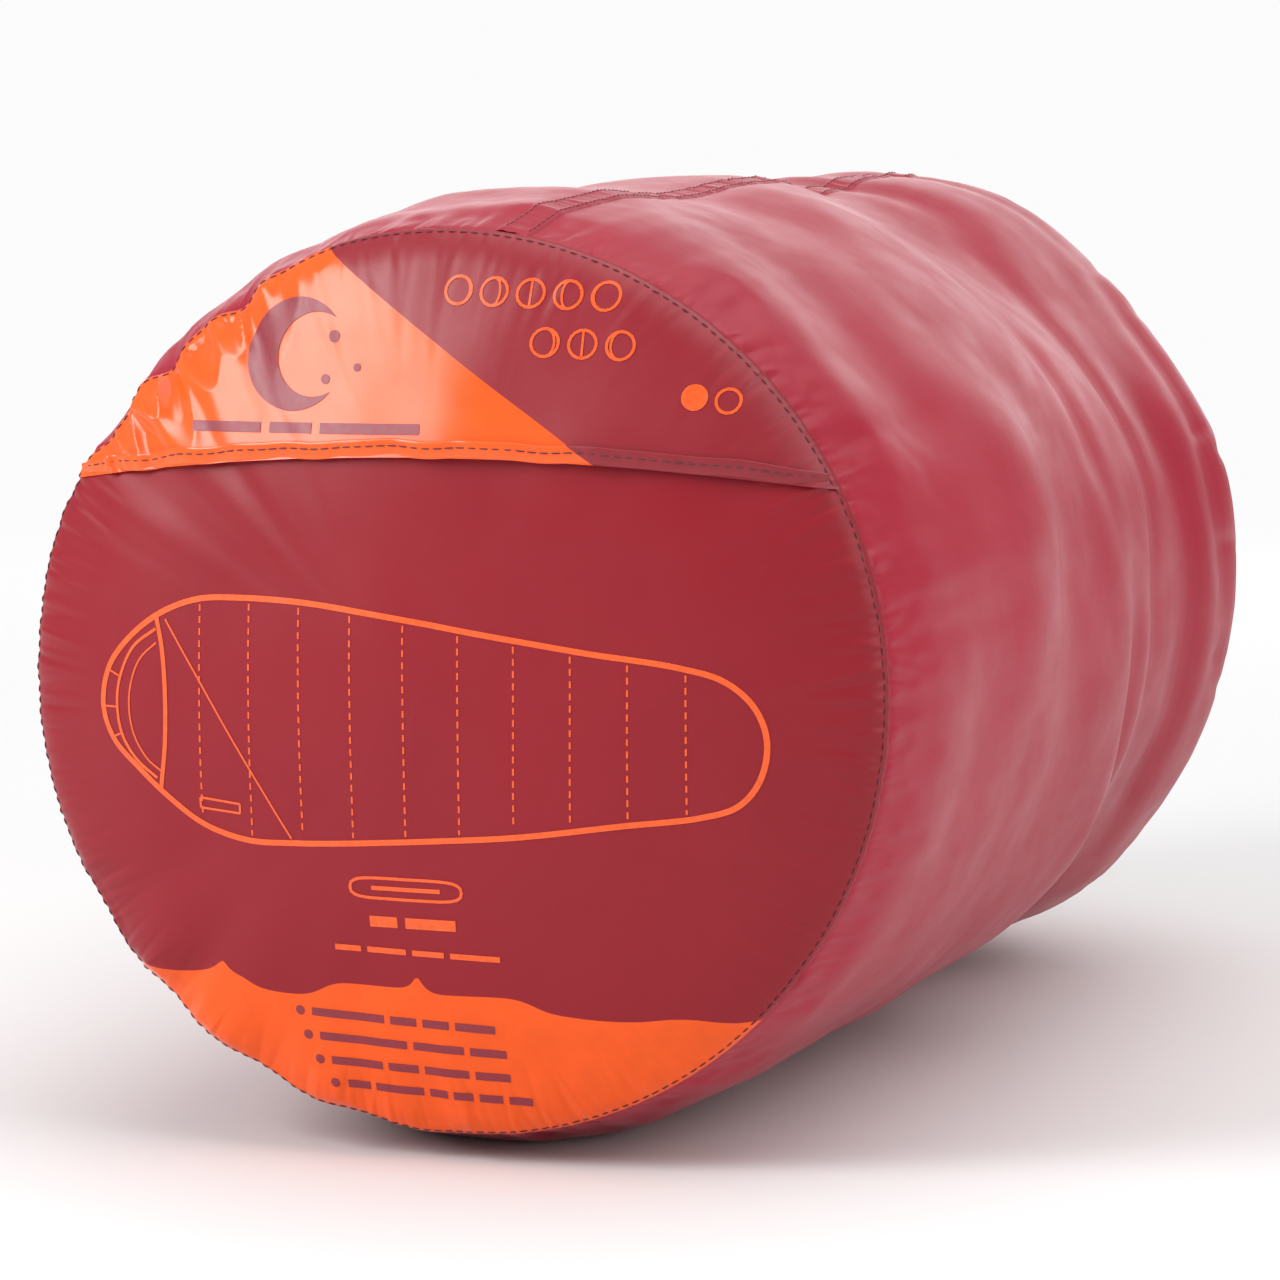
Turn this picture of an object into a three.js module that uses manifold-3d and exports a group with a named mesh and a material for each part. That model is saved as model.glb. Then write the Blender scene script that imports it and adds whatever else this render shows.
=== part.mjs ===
// A mummy sleeping bag packed in its drawcord stuff sack, lying on its side.
// Millimetres, +Z up. The sack's axis runs along Y: the round base faces -Y and the gathered mouth +Y.
// The origin is at floor level, under the middle of the whole length.
import * as THREE from 'three';
import * as BufferGeometryUtils from 'three/addons/utils/BufferGeometryUtils.js';
import Module from 'manifold-3d';

const wasm = await Module();
wasm.setup();

// ---------- driving dimensions ----------
const baseRadius = 114;        // round base, measured at its seam
const wallLength = 410;        // base seam to the start of the gathered end
const domeDepth = 22;          // how far the full sack pushes the base outwards
const bulge = 0.09;            // how much wider the filled wall is than its seam
const waist = 0.045;           // shallow fold that circles the wall past its middle
const waistPlace = 0.62;
const waistSpread = 0.15;
const shoulderStart = 0.8;     // share of the wall's length where it begins to round in
const shoulderRounding = 0.86;
const settle = 4;              // how much the full sack flattens on the floor
const settledLayers = 40;      // how deep into the contents that flattening reaches
const fabric = 1.2;            // thickness of each cloth solid
const gap = 0.3;               // clearance between pieces that touch
const sides = 36;              // steps round the sack

const chordHeight = 50;        // free edge of the grab flap above the base's centre
const chordArch = 8;           // rise of that edge in the middle
const hemWidth = 6;

const channelInner = 12;       // cinched mouth: radius left open
const channelOuter = 18;
const frillRadius = 24;        // flared edge of the ruffle
const channelLength = 14;
const frillLength = 7;
const gatherDepth = 8;         // how far the gathered end domes past the wall
const cordRadius = 1.3;

const lockDrop = 33;           // cord lock's centre below the sack's axis
const lockTravel = 10;         // slack of cord between lock and knot
const buttonTravel = 4;

const chamberCount = 10;       // down chambers of the packed bag, foot to hood
const bagClearance = 2;        // between the sack's cloth and the packed bag
const linerRadius = 30;

// ---------- places worked out from them ----------
const frontDepth = domeDepth + gap + fabric;   // base panel in front of its seam
const overallLength = frontDepth + wallLength + gatherDepth + channelLength + frillLength;
const seamY = -overallLength / 2 + frontDepth;
const wallEndY = seamY + wallLength;
const channelY = wallEndY + gatherDepth;
const axisZ = baseRadius * (1 + bulge) - settle;
const lockZ = axisZ - lockDrop;
const lockY = channelY + 9;

function wallRadius(y) {
  const t = THREE.MathUtils.clamp((y - seamY) / wallLength, 0, 1);
  const shoulder = Math.max(0, (t - shoulderStart) / (1 - shoulderStart));
  const filled = 1 + bulge * (1 - Math.exp(-9 * t));
  const fold = waist * Math.exp(-(((t - waistPlace) / waistSpread) ** 2));
  return baseRadius * (filled - fold) * Math.sqrt(1 - (shoulderRounding * shoulder) ** 2);
}

function domeY(radius) {
  return seamY - domeDepth * (1 - Math.min(1, radius / baseRadius) ** 2) ** 0.7;
}

// ---------- helpers ----------
function cloth(color, roughness) {
  return new THREE.MeshStandardMaterial({ color, roughness, metalness: 0 });
}

const shades = {
  sackBase: cloth(0x8e2435, 0.42),
  sackWall: cloth(0xb34a5a, 0.42),
  sackSeam: cloth(0x9c3446, 0.55),
  flap: cloth(0x9a2c3c, 0.4),
  cord: cloth(0x2a2a2e, 0.8),
  plastic: new THREE.MeshStandardMaterial({ color: 0x1c1c1e, roughness: 0.45, metalness: 0 }),
  steel: new THREE.MeshStandardMaterial({ color: 0xc4c6c8, roughness: 0.3, metalness: 1 }),
  shell: cloth(0xa03040, 0.45),
  liner: cloth(0x4a4d55, 0.6),
  down: cloth(0xe6e2da, 0.95),
  zip: cloth(0x222226, 0.7),
};

const part = new THREE.Group();
const sack = new THREE.Group();
sack.position.z = axisZ;
part.add(sack);

function add(name, geometry, material, parent = sack) {
  const mesh = new THREE.Mesh(geometry, material);
  mesh.name = name;
  parent.add(mesh);
  return mesh;
}

// Presses the outer layers of the sack flat on the floor, each layer resting on the one outside it.
function settled(geometry) {
  const points = geometry.attributes.position;
  for (let i = 0; i < points.count; i += 1) {
    const depth = wallRadius(points.getY(i)) - Math.hypot(points.getX(i), points.getZ(i));
    if (depth < settledLayers) points.setZ(i, Math.max(points.getZ(i), Math.max(0, depth) - axisZ));
  }
  return geometry;
}

function toSolid(geometry) {
  const bare = geometry.clone();
  bare.deleteAttribute('normal');
  bare.deleteAttribute('uv');
  const merged = BufferGeometryUtils.mergeVertices(bare, 1e-4);
  return new wasm.Manifold(new wasm.Mesh({
    numProp: 3,
    vertProperties: new Float32Array(merged.attributes.position.array),
    triVerts: new Uint32Array(merged.index.array),
  }));
}

function toGeometry(solid) {
  const mesh = solid.getMesh();
  const geometry = new THREE.BufferGeometry();
  geometry.setAttribute('position', new THREE.BufferAttribute(new Float32Array(mesh.vertProperties), 3));
  geometry.setIndex(new THREE.BufferAttribute(new Uint32Array(mesh.triVerts), 1));
  return geometry;
}

function cut(geometry, ...cutters) {
  return toGeometry(cutters.reduce((solid, cutter) => solid.subtract(toSolid(cutter)), toSolid(geometry)));
}

function block(width, depth, height, x, y, z) {
  return new THREE.BoxGeometry(width, depth, height).translate(x, y, z);
}

// Revolves a closed outline of [radius, y] pairs round the sack's axis.
function lathe(outline, segments = sides) {
  const points = outline.map(([radius, y]) => new THREE.Vector2(radius, y));
  if (!points[0].equals(points[points.length - 1]) && points[0].x > 0) points.push(points[0].clone());
  return new THREE.LatheGeometry(points, segments);
}

function steps(from, to, count) {
  return Array.from({ length: count + 1 }, (_, i) => from + ((to - from) * i) / count);
}

function tube(points, radius, pathSteps, ringSides = 8) {
  const section = new THREE.Shape();
  section.absarc(0, 0, radius, 0, 2 * Math.PI, false);
  const path = new THREE.CatmullRomCurve3(points.map((p) => new THREE.Vector3(...p)), false, 'centripetal');
  return new THREE.ExtrudeGeometry(section, {
    steps: pathSteps,
    curveSegments: ringSides / 2,
    bevelEnabled: false,
    extrudePath: path,
  });
}

// ---------- stuff sack ----------
function makeBasePanel() {
  const edge = baseRadius - gap;
  const radii = [0, 0.3, 0.55, 0.75, 0.88, 0.96, 1].map((share) => share * edge);
  const outer = radii.map((radius) => [radius, domeY(radius) - gap - fabric]);
  const inner = radii.map((radius) => [radius, domeY(radius) - gap]).reverse();
  return lathe([...outer, ...inner]);
}

// Seam allowance of the base, folded back along the inside of the wall.
function makeBaseSeam() {
  const allowance = 9;
  const stations = steps(seamY + fabric, seamY + fabric + allowance, 1);
  const outer = stations.map((y) => [wallRadius(y) - fabric - gap, y]);
  const inner = stations.map((y) => [wallRadius(y) - fabric - gap - 0.9, y]).reverse();
  return lathe([...outer, ...inner]);
}

const wallStations = [
  seamY,
  ...steps(seamY + 12, seamY + wallLength * shoulderStart, 8),
  ...steps(seamY + wallLength * shoulderStart, wallEndY, 4).slice(1),
];

function makeSideWall() {
  const stations = wallStations;
  const outer = stations.map((y) => [wallRadius(y), y]);
  const mouth = [[44, wallEndY + 5], [channelOuter + 2, channelY - gap]];
  const inner = stations.map((y) => [wallRadius(y) - fabric, y]).reverse();
  const innerMouth = [[channelOuter + 2, channelY - gap - fabric], [44, wallEndY + 5 - fabric]];
  inner[0] = [inner[0][0] - 0.6, inner[0][1] - 0.6];
  return settled(lathe([...outer, ...mouth, ...innerMouth, ...inner]));
}

// Felled lap seam along the top, a strip that follows the wall's curve.
function makeSideSeam() {
  const lean = THREE.MathUtils.degToRad(8);
  const width = 8;
  const stations = [seamY + 3, ...wallStations.slice(1, -2)];
  const outline = new THREE.Shape();
  stations.forEach((y, i) => {
    const height = wallRadius(y) + gap;
    if (i === 0) outline.moveTo(y, height);
    else outline.lineTo(y, height);
  });
  [...stations].reverse().forEach((y) => outline.lineTo(y, wallRadius(y) + gap + 0.9));
  const strip = new THREE.ExtrudeGeometry(outline, { depth: width, bevelEnabled: false });
  strip.translate(0, 0, -width / 2);
  strip.applyMatrix4(new THREE.Matrix4().makeBasis(
    new THREE.Vector3(0, 1, 0), new THREE.Vector3(0, 0, 1), new THREE.Vector3(1, 0, 0)));
  return strip.rotateY(lean);
}

// The half-moon flap lies on the upper part of the base. Its outline is drawn in the plane of the base
// seam and its two faces follow the dome.
function chordZ(x, drop = 0) {
  const half = Math.sqrt(baseRadius ** 2 - chordHeight ** 2);
  return chordHeight + chordArch * (1 - (x / half) ** 2) - drop;
}

function domePatch(lowerEdge, upperEdge, halfWidth, lift, thickness, columns, rows) {
  const front = [];
  const back = [];
  for (let i = 0; i <= columns; i += 1) {
    const x = -halfWidth + (2 * halfWidth * i) / columns;
    for (let j = 0; j <= rows; j += 1) {
      const z = THREE.MathUtils.lerp(lowerEdge(x), upperEdge(x), j / rows);
      const y = domeY(Math.hypot(x, z)) - gap - fabric - lift;
      front.push([x, y - thickness, z]);
      back.push([x, y, z]);
    }
  }
  const index = [];
  const across = rows + 1;
  const total = front.length;
  const quad = (a, b, c, d) => index.push(a, b, c, a, c, d);
  for (let i = 0; i < columns; i += 1) {
    for (let j = 0; j < rows; j += 1) {
      const a = i * across + j;
      quad(a, a + across, a + across + 1, a + 1);
      quad(total + a, total + a + 1, total + a + across + 1, total + a + across);
    }
    const low = i * across;
    const high = low + rows;
    quad(low, total + low, total + low + across, low + across);
    quad(high, high + across, total + high + across, total + high);
  }
  for (let j = 0; j < rows; j += 1) {
    const last = columns * across + j;
    quad(j, j + 1, total + j + 1, total + j);
    quad(last, total + last, total + last + 1, last + 1);
  }
  const geometry = new THREE.BufferGeometry();
  geometry.setAttribute('position', new THREE.Float32BufferAttribute([...front, ...back].flat(), 3));
  geometry.setIndex(index);
  return geometry;
}

function makeGrabFlap() {
  const edge = baseRadius - 1;
  const half = Math.sqrt(edge ** 2 - (chordHeight + hemWidth) ** 2) - 1;
  const lower = (x) => chordZ(x) + hemWidth / 2 + gap;
  const upper = (x) => Math.sqrt(edge ** 2 - x ** 2);
  return domePatch(lower, upper, half, 0.6, fabric, 20, 6);
}

function makeFlapHem() {
  const half = Math.sqrt((baseRadius - 1) ** 2 - chordHeight ** 2) - 3;
  const lower = (x) => chordZ(x) - hemWidth / 2;
  const upper = (x) => chordZ(x) + hemWidth / 2;
  return domePatch(lower, upper, half, 0.5, 1.8, 20, 1);
}

// ---------- mouth and drawcord ----------
function eyeletHole(radius) {
  return new THREE.CylinderGeometry(radius, radius, 10, 16).rotateX(Math.PI / 2)
    .translate(0, lockY - 2, -channelOuter);
}

function makeMouthChannel() {
  const end = channelY + channelLength;
  const body = lathe([
    [channelInner, channelY], [channelOuter, channelY], [channelOuter + 1, channelY + 7],
    [channelOuter, end], [frillRadius, end + frillLength], [frillRadius - 2, end + frillLength],
    [channelInner + 1, end],
  ], 32);
  const tunnel = lathe([
    [channelInner + 1, channelY + 1], [channelOuter - 1, channelY + 1],
    [channelOuter - 1, end - 1.5], [channelInner + 1, end - 1.5],
  ], 32);
  return cut(body, tunnel, eyeletHole(4.5));
}

function makeEyelet() {
  const inner = 3.6;
  const flange = 6.4;
  const top = channelOuter + 0.95;
  const profile = [
    [inner, -2.4], [inner + 0.5, -2.4], [inner + 0.5, 0], [flange, 0],
    [flange - 0.4, 0.8], [inner + 0.5, 1], [inner, 0.5],
  ];
  return lathe(profile, 20).rotateX(-Math.PI / 2).translate(0, lockY - 2, -top - gap);
}

// The drawcord's ring lies in the channel, and its two ends leave through the eyelet and hang down
// through the cord lock to the knot.
const strandSpread = 1.7;
const knotZ = -lockDrop - 6.8 - lockTravel - 5.2;

function makeDrawcord() {
  const ringY = lockY - 2;
  const ringRadius = (channelInner + channelOuter) / 2;
  const strandEnd = knotZ + 4.7;
  const startAngle = THREE.MathUtils.degToRad(27);
  const down = (side) => [
    [0, lockY + side * strandSpread, strandEnd],
    [0, lockY + side * strandSpread, -lockDrop],
    [side * 0.5, lockY + side * 1.6, -lockDrop + 8.5],
    [side * 1.5, ringY + side * 0.6, -channelOuter - 2.5],
    [side * 1.55, ringY + side * 0.2, -channelOuter - 0.2],
    [side * 1.9, ringY, -channelOuter + 1.8],
  ];
  const ring = steps(startAngle, 2 * Math.PI - startAngle, 20).map((angle) => [
    Math.sin(angle) * ringRadius, ringY, -Math.cos(angle) * ringRadius]);
  return tube([...down(1), ...ring, ...down(-1).reverse()], cordRadius, 66);
}

function makeKnot() {
  return new THREE.TorusKnotGeometry(2.4, 0.9, 40, 6, 2, 3).translate(0, lockY, knotZ);
}

// The cord lock lies across the two strands, its button facing +X.
const bodyRadius = 6.8;
const boreRadius = 5;
const plungerRadius = 4.6;
const lockFoot = -12;
const lockRim = 8.2;
const headFoot = lockRim + buttonTravel + gap;
const strandSlot = 1.7;

function makeLockBody() {
  const cup = lathe([
    [0, lockFoot], [5.6, lockFoot], [bodyRadius, lockFoot + 1.4], [bodyRadius, lockRim - 0.8],
    [bodyRadius - 0.8, lockRim], [boreRadius, lockRim], [boreRadius, lockFoot + 1.5], [0, lockFoot + 1.5],
  ], 24);
  return cut(cup, block(8, 2 * strandSlot, 20, 0, 0, 0));
}

function makeLockButton() {
  const plunger = lathe([
    [0, -3.5], [plungerRadius, -3.5], [plungerRadius, headFoot], [6.2, headFoot],
    [6.2, headFoot + 2.2], [4.4, headFoot + 3.4], [0, headFoot + 3.6],
  ], 24);
  const slotLength = 2 * strandSlot + buttonTravel;
  return cut(plunger, block(6.6, slotLength, 20, 0, -strandSlot + slotLength / 2, 0));
}

function makeLockSpring() {
  const turns = 4;
  const from = lockFoot + 1.5 + 0.7;
  const to = -3.5 - 0.7;
  const coilRadius = 3.2;
  const points = steps(0, 1, turns * 10).map((t) => {
    const angle = 2 * Math.PI * turns * t;
    return [coilRadius * Math.cos(angle), from + (to - from) * t, coilRadius * Math.sin(angle)];
  });
  return tube(points, 0.35, turns * 10, 6);
}

// ---------- packed sleeping bag ----------
const bagDepth = fabric + bagClearance;      // bag's outer shell below the sack's surface
const shellThickness = 1;
const zipAngle = THREE.MathUtils.degToRad(7);
const footY = seamY + 16;
const hoodY = seamY + wallLength * 0.86;

function makeBagShell() {
  const radii = steps(0, baseRadius - bagDepth - 3, 4);
  const stations = [seamY + 4, ...wallStations.slice(1, -1)];
  const neck = 34;
  const hoodRim = wallRadius(wallEndY) - bagDepth - 2;
  const outer = [
    ...radii.map((radius) => [radius, domeY(radius) + bagDepth]),
    ...stations.map((y) => [wallRadius(y) - bagDepth, y]),
    [hoodRim, wallEndY - 1.5],
    [neck, wallEndY + 1],
  ];
  const inner = [
    [neck, wallEndY],
    [hoodRim - shellThickness, wallEndY - 2.5],
    ...stations.map((y) => [wallRadius(y) - bagDepth - shellThickness, y]).reverse(),
    ...radii.map((radius) => [radius, domeY(radius) + bagDepth + shellThickness]).reverse(),
  ];
  const zipOpening = block(30, hoodY - footY - 60, 22, -baseRadius, (hoodY + footY) / 2 + 10, 0);
  return cut(settled(lathe([...outer, ...inner], 28)), zipOpening);
}

function makeLiner() {
  const outer = linerRadius - 1.5;
  const inner = linerRadius - 2.5;
  return lathe([[0, footY + 1], [outer, footY + 1], [outer, hoodY], [inner, hoodY], [inner, footY + 2],
    [0, footY + 2]], 20);
}

// A ring of the bag from y to y + length that stops short of the zip on the -X side.
function openRing(y, length, outerRadius) {
  const shape = new THREE.Shape();
  shape.absarc(0, 0, outerRadius, -Math.PI + zipAngle, Math.PI - zipAngle, false);
  shape.absarc(0, 0, linerRadius, Math.PI - 3 * zipAngle, -Math.PI + 3 * zipAngle, true);
  const ring = new THREE.ExtrudeGeometry(shape, { depth: length, curveSegments: 11, bevelEnabled: false });
  ring.rotateX(-Math.PI / 2).translate(0, y, 0);
  return settled(ring);
}

function ringRadius(y, length) {
  const tightest = Math.min(...steps(y, y + length, 6).map(wallRadius));
  return tightest - bagDepth - shellThickness - 2.2;
}

function makeFootFill() {
  const rim = baseRadius - bagDepth - shellThickness - 4;
  const radii = steps(0, rim, 4);
  return lathe([...radii.map((radius) => [radius, domeY(radius) + bagDepth + shellThickness + 0.8]),
    [rim, footY - gap], [0, footY - gap]], 28);
}

function makeHoodFill() {
  const y = hoodY + 2;
  const outer = wallRadius(wallEndY) - bagDepth - shellThickness - 1.5;
  return lathe([[34, y], [outer + 12, y], [outer, wallEndY - 3], [34, wallEndY - 3]], 28);
}

function addPackedBag() {
  const bag = new THREE.Group();
  sack.add(bag);
  add('bag_shell', makeBagShell(), shades.shell, bag);
  add('bag_liner', makeLiner(), shades.liner, bag);
  add('foot_fill', makeFootFill(), shades.down, bag);
  add('hood_fill', makeHoodFill(), shades.down, bag);

  const baffle = 0.8;
  const pitch = (hoodY - footY) / chamberCount;
  for (let i = 0; i < chamberCount; i += 1) {
    const number = String(i + 1).padStart(2, '0');
    const y = footY + i * pitch;
    const length = pitch - baffle - 2 * gap;
    add(`down_chamber_${number}`, openRing(y, length, ringRadius(y, length)), shades.down, bag);
    if (i < chamberCount - 1) {
      const wallY = y + length + gap;
      const wall = openRing(wallY, baffle, ringRadius(wallY, baffle));
      add(`baffle_wall_${number}`, wall, shades.shell, bag);
    }
  }
  addZip(bag);
  addHoodPieces(bag);
}

// Two-tape zip with its slider, and the down-filled draft tube behind it.
function addZip(bag) {
  const zipX = -(baseRadius - bagDepth - 1);
  const from = footY + 50;
  const length = hoodY - footY - 85;
  const middle = from + length / 2;
  const chain = 3;
  for (const [name, side] of [['zip_tape_upper', 1], ['zip_tape_lower', -1]]) {
    add(name, block(0.8, length, 7, zipX, middle, side * (chain / 2 + gap + 3.5)), shades.zip, bag);
  }
  const sliderY = from + length - 14;
  const coilLength = sliderY - from;
  add('zip_coil', block(1.8, coilLength, chain, zipX, from + coilLength / 2, 0), shades.zip, bag);
  add('zip_slider', makeZipSlider(chain).translate(zipX, sliderY, 0), shades.steel, bag);
  add('zip_pull', makeZipPull().translate(zipX + 3.2, sliderY, 0), shades.steel, bag);
  const draft = new THREE.CapsuleGeometry(6.5, length - 10, 3, 8);
  add('draft_tube', draft.translate(zipX + 16, middle, 0), shades.liner, bag);
}

// Two plates with a channel for the coil and slots for the tapes, joined by the wedge that parts them.
function makeZipSlider(chain) {
  const plates = toSolid(block(5.4, 11, 8, 0, 0, 0));
  const channel = toSolid(block(2.6, 20, chain + 0.7, 0, 0, 0));
  const tapeSlot = toSolid(block(1.5, 20, 20, 0, 0, 0));
  const wedge = toSolid(block(5, 3, 1.6, 0, 3.5, 0));
  return toGeometry(plates.subtract(channel).subtract(tapeSlot).add(wedge));
}

function makeZipPull() {
  const tab = new THREE.Shape();
  tab.absarc(0, 0, 3, Math.PI, 0, true);
  tab.lineTo(2.2, -18);
  tab.lineTo(-2.2, -18);
  tab.holes.push(new THREE.Path().absarc(0, -0.4, 1.3, 0, 2 * Math.PI, false));
  const pull = new THREE.ExtrudeGeometry(tab, { depth: 1.2, curveSegments: 6, bevelEnabled: false });
  return pull.rotateY(Math.PI / 2);
}

// Collar round the neck, and the hood's own drawcord with its toggle.
function addHoodPieces(bag) {
  const collar = new THREE.TorusGeometry(18, 6, 6, 18).rotateX(Math.PI / 2);
  add('draft_collar', collar.translate(0, hoodY - 40, 0), shades.liner, bag);
  const cordY = wallEndY - 12;
  const hoodCord = new THREE.TorusGeometry(27, 1.2, 5, 24).rotateX(Math.PI / 2);
  add('hood_drawcord', hoodCord.translate(0, cordY, 0), shades.cord, bag);
  add('hood_cord_toggle', lathe([[0, 0], [4, 0], [4.6, 3], [4, 12], [0, 12.5]], 12).rotateZ(Math.PI / 2)
    .translate(22, cordY - 9, 0), shades.plastic, bag);
}

// ---------- assembly ----------
add('base_panel', makeBasePanel(), shades.sackBase);
add('base_seam', makeBaseSeam(), shades.sackSeam);
add('side_wall', makeSideWall(), shades.sackWall);
add('side_seam', makeSideSeam(), shades.sackSeam);
add('grab_flap', makeGrabFlap(), shades.flap);
add('flap_hem', makeFlapHem(), shades.flap);
add('mouth_channel', makeMouthChannel(), shades.sackWall);
add('channel_eyelet', makeEyelet(), shades.steel);
add('drawcord', makeDrawcord(), shades.cord);
add('drawcord_knot', makeKnot(), shades.cord);

// The lock is drawn round its own Y axis and turned so that its button faces +X.
const cordLock = new THREE.Group();
cordLock.position.set(0, lockY, -lockDrop);
cordLock.rotation.z = -Math.PI / 2;
sack.add(cordLock);
add('cord_lock_body', makeLockBody(), shades.plastic, cordLock);
add('cord_lock_button', makeLockButton(), shades.plastic, cordLock);
add('cord_lock_spring', makeLockSpring(), shades.steel, cordLock);

addPackedBag();

export default part;
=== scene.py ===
import math

import bmesh
import bpy
import numpy as np
from mathutils import Matrix, Vector


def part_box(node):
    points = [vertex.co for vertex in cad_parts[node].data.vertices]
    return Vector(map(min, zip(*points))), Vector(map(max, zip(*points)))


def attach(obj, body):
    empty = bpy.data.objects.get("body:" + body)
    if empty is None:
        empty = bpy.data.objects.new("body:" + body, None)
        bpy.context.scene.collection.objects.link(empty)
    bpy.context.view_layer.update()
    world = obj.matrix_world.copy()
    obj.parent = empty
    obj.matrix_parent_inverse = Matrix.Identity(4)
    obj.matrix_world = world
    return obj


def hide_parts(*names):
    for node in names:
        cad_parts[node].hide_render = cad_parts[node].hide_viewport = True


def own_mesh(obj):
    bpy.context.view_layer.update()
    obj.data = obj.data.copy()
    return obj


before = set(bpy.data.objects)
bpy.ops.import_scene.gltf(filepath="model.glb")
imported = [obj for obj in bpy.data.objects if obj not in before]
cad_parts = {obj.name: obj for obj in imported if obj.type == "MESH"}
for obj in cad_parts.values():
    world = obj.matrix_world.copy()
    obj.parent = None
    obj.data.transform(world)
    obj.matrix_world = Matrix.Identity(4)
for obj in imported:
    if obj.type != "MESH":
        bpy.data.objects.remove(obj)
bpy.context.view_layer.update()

MM = 0.001

# ---------- sizes, all from the frame ----------
base_low, base_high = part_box("base_panel")
wall_low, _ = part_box("side_wall")
channel_low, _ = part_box("mouth_channel")
BASE_R = (base_high.x - base_low.x) / 2 + 0.3 * MM      # base seam's radius
AXIS_Z = (base_high.z + base_low.z) / 2
SEAM_Y = wall_low.y
WALL_END = channel_low.y - 8 * MM
WALL_L = WALL_END - SEAM_Y
DOME = SEAM_Y - base_low.y - 1.5 * MM
CHANNEL_Y = channel_low.y
CHORD_Z = 50 * MM                # free edge of the flap above the base's centre
CHORD_ARCH = 8 * MM
SEAM_LEAN = math.radians(8)      # side seam, away from the top towards +X
TAU = 2 * math.pi


def wall_radius(y):
    t = np.clip((np.asarray(y, float) - SEAM_Y) / WALL_L, 0, 1)
    shoulder = np.maximum(0, (t - 0.8) / 0.2)
    filled = 1 + 0.09 * (1 - np.exp(-9 * t))
    fold = 0.045 * np.exp(-(((t - 0.62) / 0.15) ** 2))
    return BASE_R * (filled - fold) * np.sqrt(1 - (0.86 * shoulder) ** 2)


# ---------- camera, light and floor ----------
def aim(thing, place, target):
    thing.location = place
    thing.rotation_euler = (Vector(target) - Vector(place)).to_track_quat("-Z", "Y").to_euler()


def add_camera():
    azimuth, elevation, distance = math.radians(19.24), math.radians(6.25), 1.443
    target = Vector((-0.0226, 0, 0.1095))
    back = Vector((math.sin(azimuth) * math.cos(elevation), -math.cos(azimuth) * math.cos(elevation),
                   math.sin(elevation)))
    data = bpy.data.cameras.new("camera")
    data.lens = 139.6
    data.sensor_width = 36
    data.clip_start = 0.01
    camera = bpy.data.objects.new("camera", data)
    bpy.context.scene.collection.objects.link(camera)
    aim(camera, target + back * distance, target)
    bpy.context.scene.camera = camera


def add_light(name, place, target, size, power, colour=(1, 1, 1)):
    data = bpy.data.lights.new(name, "AREA")
    data.shape = "RECTANGLE"
    data.size, data.size_y = size
    data.energy = power
    data.color = colour
    light = bpy.data.objects.new(name, data)
    bpy.context.scene.collection.objects.link(light)
    aim(light, Vector(place), Vector(target))
    return light


def add_sun(name, direction, strength, spread):
    data = bpy.data.lights.new(name, "SUN")
    data.energy = strength
    data.angle = math.radians(spread)
    light = bpy.data.objects.new(name, data)
    bpy.context.scene.collection.objects.link(light)
    aim(light, Vector(direction), Vector((0, 0, 0)))


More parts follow.
